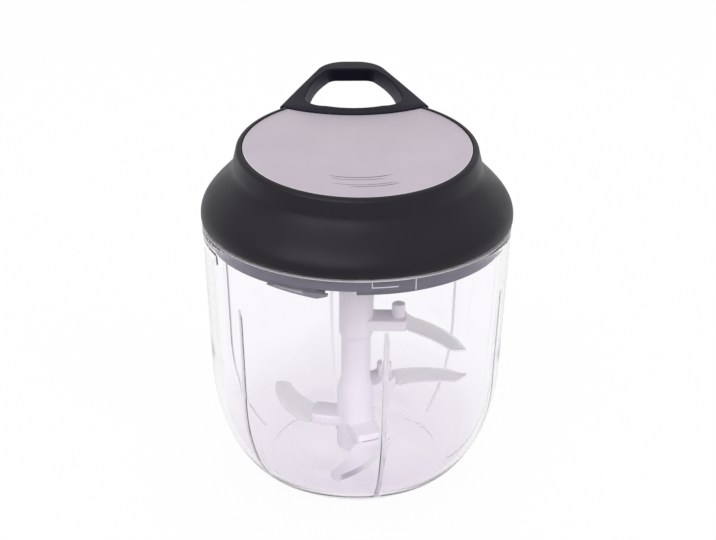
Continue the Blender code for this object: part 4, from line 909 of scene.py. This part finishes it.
# The handle's notch and its pocket, below the lid's leaning top
SHELF_DEPTH, SHELF_SLOPE = 6.3, 0.21
POCKET_HALF_WIDTH, POCKET_BACK, POCKET_FLOOR, POCKET_TOP = 8.3, 63.4, -13.3, -3.15
HOUSING_WALL = 2.2
EYELET_Y, EYELET_RADIUS = 27.5, 3.05

POST_ANGLES = [math.radians(45 + 90 * i) for i in range(4)]
POSTS = [(40 * math.cos(angle), 40 * math.sin(angle)) for angle in POST_ANGLES]
POST_RADIUS, SCREW_BORE, SCREW_CLEARANCE = 4, 1.6, 1.9
AXLE_BOSS_RADIUS, AXLE_BOSS_BOTTOM, AXLE_RADIUS = 8.5, 134.8, 4.3
ABOVE_LID = 180

PLATE_RADIUS, PLATE_NOTCH_RADIUS = 46.2, 60.3
PLATE_BOTTOM, PLATE_TOP, PLATE_ROUNDING = -1.2, -0.2, 0.3
# Each engraved grip line: its arc's centre, radius, first and last angle in degrees, and half width
GRIP_LINES = [
    ((-0.4, 2.9), 32.1, -111.5, -66, 0.26), ((-0.4, 5.6), 36.7, -108.5, -73, 0.20),
    ((0, 2.5), 37.9, -108, -66.5, 0.17), ((0, 2.5), 39.5, -97, -67, 0.20),
]
GROOVE_STEPS, GROOVE_DEPTH, GROOVE_EDGE, GROOVE_FLARE, TOOL_TOP = 40, 0.25, -0.19, 0.1, 0.6

BASE_PROFILE = [
    (7.8, BASE_BOTTOM), (58.3, BASE_BOTTOM), (58.3, 112), (56.3, 112), (56.3, BASE_TOP), (7.8, BASE_TOP),
]
# The base's skirt sections, then its lugs with their webs and the roots above them
SKIRT_STARTS, SKIRT_SPAN = [math.radians(-92 + 90 * i) for i in range(4)], math.radians(75)
SKIRT_INNER, SKIRT_OUTER, SKIRT_LOW, SKIRT_HIGH = 56.6, 58.9, 102.6, 104.35
LUG_STARTS, LUG_SPAN = [math.radians(-127 + 180 * i) for i in range(2)], math.radians(24.3)
LUG_INNER, LUG_OUTER, LUG_THIN, LUG_SWELL = 58.2, 59.8, 0.25, 1.85
LUG_DEEPEST, LUG_END, LUG_RETURN = 0.84, 1.06, 0.22
WEB_INNER, WEB_OUTER, WEB_OFFSET, WEB_SPAN = 57.2, 59.84, math.radians(3), math.radians(12)
WEB_RAISE = 0.7
ROOT_INNER, ROOT_OUTER, ROOT_OFFSET, ROOT_SPAN = 56.9, 58.6, math.radians(2), math.radians(21)
ROOT_TOP = 103.2

SEAL_PROFILE = [
    (58.65, 104.4), (60.0, 104.4), (60.27, 104.7), (60.27, 105.2), (60.1, 105.5), (60.1, 108.1),
    (60.27, 108.4), (60.27, 108.9), (60.0, 109.2), (58.65, 109.2),
]


def lid_lean(height, y):
    return y * math.tan(TILT) * min(max((height - BOWL_HEIGHT) / LID_HEIGHT, 0), 1)


def dome_radius(h, shoulder, neck):
    share = min(max((h - DOME_START) / DOME_RISE, 0), 1) ** DOME_POWER
    return shoulder - (shoulder - neck) * share * share * (3 - 2 * share)


def build_dome(bm):
    profile = [(0, DOME_FOOT[0][1])] + rounded(DOME_FOOT, DOME_FOOT_ROUNDINGS, 5)
    for i in range(1, 29):
        h = 3.7 + DOME_RISE * i / 28
        profile.append((dome_radius(h, DOME_SHOULDER, DOME_NECK), BOWL_HEIGHT + h))
    profile += arc((TOP_RADIUS - TOP_ROUNDING, LID_TOP - TOP_ROUNDING), TOP_ROUNDING, 0, QUARTER_TURN, 10)
    profile += [(RECESS_RADIUS, LID_TOP), (0, LID_TOP)]
    lathe(bm, profile, 200, lid_lean)


def notch_tools(margin):
    """The handle's notch and its pocket, grown by a margin."""
    front = NOTCH_CENTRE - NOTCH_RADIUS

    def shelf(x, y):
        return -SHELF_DEPTH - margin - SHELF_SLOPE * (y - front)

    half = POCKET_HALF_WIDTH + margin
    notch = circle(NOTCH_RADIUS + margin, 240, (0, NOTCH_CENTRE))
    pocket = rectangle(-half, half, front - 0.3 - margin, POCKET_BACK)
    bottom = POCKET_FLOOR - margin
    return [
        ("DIFFERENCE", solid("notch", lambda bm: prism(bm, notch, shelf, 31, TOP))),
        ("DIFFERENCE", solid("pocket", lambda bm: prism(bm, pocket, bottom, POCKET_TOP, TOP))),
    ]


def build_cavity(bm):
    profile = list(CAVITY_FOOT)
    for i in range(13):
        h = DOME_START + DOME_RISE * i / 12
        profile.append((dome_radius(h, CAVITY_SHOULDER, CAVITY_NECK), BOWL_HEIGHT + h - 1.1))
    lathe(bm, profile + CAVITY_ROOF, 96, lid_lean)


def build_posts(bm):
    prism(bm, circle(AXLE_BOSS_RADIUS, 48), AXLE_BOSS_BOTTOM, ABOVE_LID)
    for centre in POSTS:
        prism(bm, circle(POST_RADIUS, 32, centre), BASE_TOP + 0.3, ABOVE_LID)


def build_holes(bm):
    prism(bm, circle(AXLE_RADIUS, 32), 132, 136.7)
    for centre in POSTS:
        prism(bm, circle(SCREW_BORE, 24, centre), 104, BASE_BOTTOM + 11.8)


def make_housing(looks):
    housing = solid("lid_dome", build_dome, 30)
    cavity = solid("cavity", build_cavity)
    carve(cavity, notch_tools(HOUSING_WALL) + [("DIFFERENCE", solid("posts", build_posts))])
    recess = solid("recess", lambda bm: prism(bm, circle(RECESS_RADIUS, 200), -RECESS_DEPTH, 2, TOP))
    eyelet = solid("eyelet_hole", lambda bm: prism(
        bm, circle(EYELET_RADIUS, 32), -2, 4.2, along_pull(EYELET_Y)))
    steps = [("DIFFERENCE", cavity)] + notch_tools(0)
    steps += [("DIFFERENCE", tool) for tool in (recess, solid("holes", build_holes), eyelet)]
    carve(housing, steps, 30)
    dress(housing, "lid", [looks["lid"]], "lid_black", "lid_housing")


def plate_outline(radius, notch):
    back = (radius ** 2 - notch ** 2 + NOTCH_CENTRE ** 2) / (2 * NOTCH_CENTRE)
    half = math.sqrt(radius ** 2 - back ** 2)
    corner = math.atan2(back, half)
    rim = arc((0, 0), radius, math.pi - corner, FULL_TURN + corner, 180)
    side = math.atan2(back - NOTCH_CENTRE, half)
    rear = arc((0, NOTCH_CENTRE), notch, side, -math.pi - side, 48)
    return rim + rear[1:-1]


def build_grooves(bm):
    """Tools of five sides along the grip lines, shallow and narrow at their ends."""
    for centre, radius, start, end, half in GRIP_LINES:
        rings = []
        for i in range(GROOVE_STEPS + 1):
            angle = math.radians(start + (end - start) * i / GROOVE_STEPS)
            fade = min(1, 0.25 + i / 8, 0.25 + (GROOVE_STEPS - i) / 8)
            corners = [
                (-half - GROOVE_FLARE, TOOL_TOP), (-half, GROOVE_EDGE),
                (0, PLATE_TOP - GROOVE_DEPTH * fade),
                (half, GROOVE_EDGE), (half + GROOVE_FLARE, TOOL_TOP),
            ]
            ring = []
            for across, height in corners:
                r = radius + across * fade
                point = (centre[0] + r * math.cos(angle), centre[1] + r * math.sin(angle), height)
                ring.append(bm.verts.new(TOP @ Vector(point)))
            rings.append(ring)
        loft(bm, rings)
    # The grooves' faces take the dark steel: painted shade in the grooves
    paint_faces(bm, 1)


def make_plate(looks):
    outline = plate_outline(PLATE_RADIUS, PLATE_NOTCH_RADIUS)
    plate = solid("top_plate", lambda bm: prism(bm, outline, PLATE_BOTTOM, PLATE_TOP, TOP))
    soften(plate, PLATE_ROUNDING, 40)
    # The plate's rounded edge takes the lighter steel: a painted highlight all round it
    up = TOP.to_3x3() @ Vector((0, 0, 1))
    for face in plate.data.polygons:
        if 0.1 < face.normal.dot(up) < 0.98:
            face.material_index = 2
    materials = [looks["plate"], looks["groove"], looks["edge"]]
    tool = solid("grooves", build_grooves)
    give_slots([plate, tool], materials)
    carve(plate, [("DIFFERENCE", tool)], 40)
    dress(plate, "lid", materials, "top_plate", "lid_top_plate")


def lug_underside(x, y, start):
    """A lug's underside: it deepens along the lug and rises steeply at its end."""
    share = wrap(math.atan2(y, x) - start) / LUG_SPAN
    depth = min(share / LUG_DEEPEST, (LUG_END - share) / LUG_RETURN)
    return LUG_TOP - LUG_THIN - LUG_SWELL * min(max(depth, 0), 1)


def build_lugs(bm):
    for start in LUG_STARTS:
        outline = sector(LUG_INNER, LUG_OUTER, start, LUG_SPAN, 40)
        prism(bm, outline, lambda x, y: lug_underside(x, y, start), LUG_TOP)
    paint_faces(bm, 1)


def build_webs(bm):
    """The pale webs that carry the lugs."""
    for start in LUG_STARTS:
        outline = sector(WEB_INNER, WEB_OUTER, start + WEB_OFFSET, WEB_SPAN, 20)
        prism(bm, outline, lambda x, y: min(lug_underside(x, y, start) + WEB_RAISE, LUG_TOP - 0.05),
              LUG_TOP + 0.14)
    paint_faces(bm, 2)


def build_roots(bm):
    for start in LUG_STARTS:
        outline = sector(ROOT_INNER, ROOT_OUTER, start + ROOT_OFFSET, ROOT_SPAN, 30)
        prism(bm, outline, LUG_TOP - 0.2, ROOT_TOP)


def build_skirt(bm):
    for start in SKIRT_STARTS:
        prism(bm, sector(SKIRT_INNER, SKIRT_OUTER, start, SKIRT_SPAN, 78), SKIRT_LOW, SKIRT_HIGH)


def build_screw_holes(bm):
    for centre in POSTS:
        prism(bm, circle(SCREW_CLEARANCE, 24, centre), 103, 108)


def make_base(looks):
    base = solid("base_plate", lambda bm: lathe(bm, BASE_PROFILE, 180))
    skirt, roots = solid("skirt", build_skirt), solid("roots", build_roots)
    lugs, webs = solid("lugs", build_lugs), solid("webs", build_webs)
    materials = [looks["inner"], looks["lug"], looks["web"]]
    give_slots([base, lugs, webs], materials)
    steps = [("UNION", tool) for tool in (skirt, roots, lugs, webs)]
    carve(base, steps + [("DIFFERENCE", solid("screw_holes", build_screw_holes))], 30)
    dress(base, "lid", materials, "inner_grey", "lid_base")


def make_seal(looks):
    seal = solid("seal_ring", lambda bm: lathe(bm, SEAL_PROFILE, 180))
    dress(seal, "seal", [looks["seal"]], "seal", "lid_seal")


# Handle, in x and y on the lid's leaning top and heights from it

HANDLE_CORNER_RADIUS, HANDLE_GAP = 50.0, 0.3
HANDLE_BOTTOM, HANDLE_TOP, HANDLE_ROUNDING = -5.8, 0, 0.8
BOSS_OUTLINE, BOSS_BOTTOM, BOSS_TOP = rectangle(-8, 8, 30.35, 39.3), -13.0, -3.8
# The part of the window's side walls that gets the painted sheen
SHEEN_WALL_SIDE, SHEEN_WALL_FRONT, SHEEN_WALL_BACK, SHEEN_WALL_TOP = 6, 42, 77, -0.7
KNOT_Y = 34.8
KNOT_BORE = [(0, -8), (1.25, -8), (1.25, -2.5), (2.8, -2.5), (2.8, 3.0), (3.7, 3.0), (3.7, 7), (0, 7)]
# The window's cut in layers from below: how far it is drawn in, and its height
WINDOW_LAYERS = (
    (1.6, -8.0), (1.6, -6.1), (1.9, -5.4), (1.0, -3.0), (0.15, -0.75), (0.1, -0.6), (-0.25, -0.45),
    (-0.35, -0.2), (-0.5, 0.02), (-0.5, 2.0),
)


def handle_outline():
    """The loop from its right front corner round the back bar to its left, and back along the notch."""
    front_radius = NOTCH_RADIUS - HANDLE_GAP
    corner_y = (HANDLE_CORNER_RADIUS ** 2 - front_radius ** 2 + NOTCH_CENTRE ** 2) / (2 * NOTCH_CENTRE)
    corner_x = math.sqrt(HANDLE_CORNER_RADIUS ** 2 - corner_y ** 2)
    back_corner = arc((2.5, 74.7), 13.0, math.radians(21), QUARTER_TURN, 18)
    right = arc_through((corner_x, corner_y), (23.7, 57.6), back_corner[0], 24) + back_corner[1:]
    side = math.atan2(corner_y - NOTCH_CENTRE, corner_x)
    front = arc((0, NOTCH_CENTRE), front_radius, -math.pi - side, side, 48)
    return right + mirror(right) + front[1:-1]


def window_outline(shrink, back):
    """The finger window, narrow at the back with bowed sides, drawn in and moved back by amounts."""
    near = arc((11.9, 48.0), 8.6 - shrink, -QUARTER_TURN, math.radians(8), 18)
    far = arc((6.2, 72.6), 6.3 - shrink, math.radians(28), QUARTER_TURN, 12)
    side = arc_through(near[-1], (17.6 - shrink, 62.7), far[0], 16)
    right = near + side[1:-1] + far
    left = mirror(right)
    bow = arc_through(left[-1], (0, 37.1 + shrink), right[0], 12)
    return [(x, y + back) for x, y in right + left + bow[1:-1]]


def flat_curve(name, outline, low, high, rounding):
    """A flat plate with rounded edges, from a closed outline on the lid's leaning top."""
    curve = bpy.data.curves.new(name, "CURVE")
    curve.dimensions = "2D"
    curve.fill_mode = "BOTH"
    curve.extrude = (high - low) / 2 - rounding
    curve.bevel_depth = rounding
    curve.bevel_resolution = 3
    curve.offset = -rounding
    spline = curve.splines.new("POLY")
    spline.points.add(len(outline) - 1)
    for target, (x, y) in zip(spline.points, outline):
        target.co = (x, y, 0, 1)
    spline.use_cyclic_u = True
    item = add(name, curve)
    mesh = evaluated_mesh(item)
    bpy.data.objects.remove(item, do_unlink=True)
    bm = bmesh.new()
    bm.from_mesh(mesh)
    bmesh.ops.remove_doubles(bm, verts=bm.verts, dist=0.001)
    bm.transform(TOP @ Matrix.Translation((0, 0, (low + high) / 2)))
    bpy.data.meshes.remove(mesh)
    return add(name, finish_mesh(name, bm, 40))


def build_window(bm):
    """The window's cut: it flares at the top edge and narrows downwards; its side walls get a shinier
    copy of the handle plastic, a painted sheen.
    """
    layers = []
    for shrink, z in WINDOW_LAYERS:
        points = window_outline(shrink, max(shrink, 0))
        layers.append([bm.verts.new(TOP @ Vector((x, y, z))) for x, y in points])
    loft(bm, layers)
    for face in bm.faces:
        centre = TOP.inverted() @ face.calc_center_median()
        # The side walls take the shinier plastic: painted sheen
        along_side = abs(centre.x) > SHEEN_WALL_SIDE and SHEEN_WALL_FRONT < centre.y < SHEEN_WALL_BACK
        face.material_index = 1 if along_side and centre.z < SHEEN_WALL_TOP else 0


def make_handle(looks):
    handle = flat_curve("loop_handle", handle_outline(), HANDLE_BOTTOM, HANDLE_TOP, HANDLE_ROUNDING)
    boss = solid("boss", lambda bm: prism(bm, BOSS_OUTLINE, BOSS_BOTTOM, BOSS_TOP, TOP))
    bore = solid("bore", lambda bm: lathe(bm, KNOT_BORE, 32, matrix=along_pull(KNOT_Y)))
    opening = solid("window", build_window)
    materials = [looks["handle"], looks["sheen_wall"]]
    give_slots([handle, opening], materials)
    carve(handle, [("DIFFERENCE", opening), ("UNION", boss), ("DIFFERENCE", bore)], 34)
    dress(handle, "handle", materials, "lid_black", "pull_handle")


# Cord

CORD_RADIUS = 0.9
CORD_SIDES = 16
CORD_RUN_RADIUS = 18.6
CORD_END_HEIGHT = 131.0
GATE_Y, CORD_FINISH_Y = 26.0, 32.3
# Along the winding's tangent: where the cord starts, a point between, its bend and the bend's handles
CORD_START, CORD_MIDDLE, CORD_BEND, BEND_HANDLE = 0.3, 5.6, 11.2, 4.5


def cord_line():
    """The cord's middle line from the winding to the knot, with where it enters and leaves the eyelet."""
    angle = QUARTER_TURN - math.acos(CORD_RUN_RADIUS / GATE_Y)
    cos, sin = math.cos(angle), math.sin(angle)
    start = Vector((CORD_RUN_RADIUS * cos, CORD_RUN_RADIUS * sin, CORD_END_HEIGHT))
    run = Vector((-sin, cos, 0))
    pull = Vector((0, math.cos(TILT), math.sin(TILT)))
    gate = TOP @ Vector((0, GATE_Y, -CORD_DROP))
    finish = TOP @ Vector((0, CORD_FINISH_Y, -CORD_DROP))
    bend = start + run * CORD_BEND
    line = [start + run * CORD_START, start + run * CORD_MIDDLE]
    line += interpolate_bezier(bend, bend + run * BEND_HANDLE, gate - pull * BEND_HANDLE, gate, 9)
    line += [gate.lerp(finish, i / 24) for i in range(1, 25)]
    return line, gate, finish


def make_cord(looks):
    """The cord from the winding to the knot, with its run through the eyelet."""
    line, gate, finish = cord_line()
    section = circle(CORD_RADIUS, CORD_SIDES)

    def cord(bm):
        rings = []
        for i, point in enumerate(line):
            along = (line[min(i + 1, len(line) - 1)] - line[max(i - 1, 0)]).normalized()
            side = along.cross(Vector((0, 0, 1))).normalized()
            up = side.cross(along)
            rings.append([bm.verts.new(point + side * x + up * y) for x, y in section])
        loft(bm, rings)

    lead = solid("cord_run", cord, 50)
    lead.data.materials.append(looks["cord"])
    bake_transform(lead)
    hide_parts("pull_cord_lead")


# Works inside the lid, kept from the CAD with materials of the scene

def paint_nodes(looks):
    paints = {
        "works": ["spindle_bush", "cord_reel", "spring_cover"],
        "steel": [*(f"lid_screw_{i}" for i in range(1, 5)), "reel_axle", "axle_washer", "cord_eyelet",
                  "drive_spindle", "spindle_clip"],
        "spring": ["spiral_spring"],
        "cord": ["pull_cord_winding", "cord_knot"],
        "handle": ["knot_cover"],
    }
    for look, names in paints.items():
        for name in names:
            mesh = NODES[name].data
            mesh.materials.clear()
            mesh.materials.append(looks[look])
            mesh.shade_smooth()
            mesh.set_sharp_from_angle(angle=math.radians(35))


def main():
    make_camera()
    make_stage()
    make_world()
    make_lamps()
    looks = make_materials()
    make_bowl(looks)
    make_shaft(looks)
    make_blades(looks)
    make_housing(looks)
    make_plate(looks)
    make_base(looks)
    make_seal(looks)
    make_handle(looks)
    make_cord(looks)
    paint_nodes(looks)
    bpy.context.scene.view_settings.view_transform = "Standard"


main()
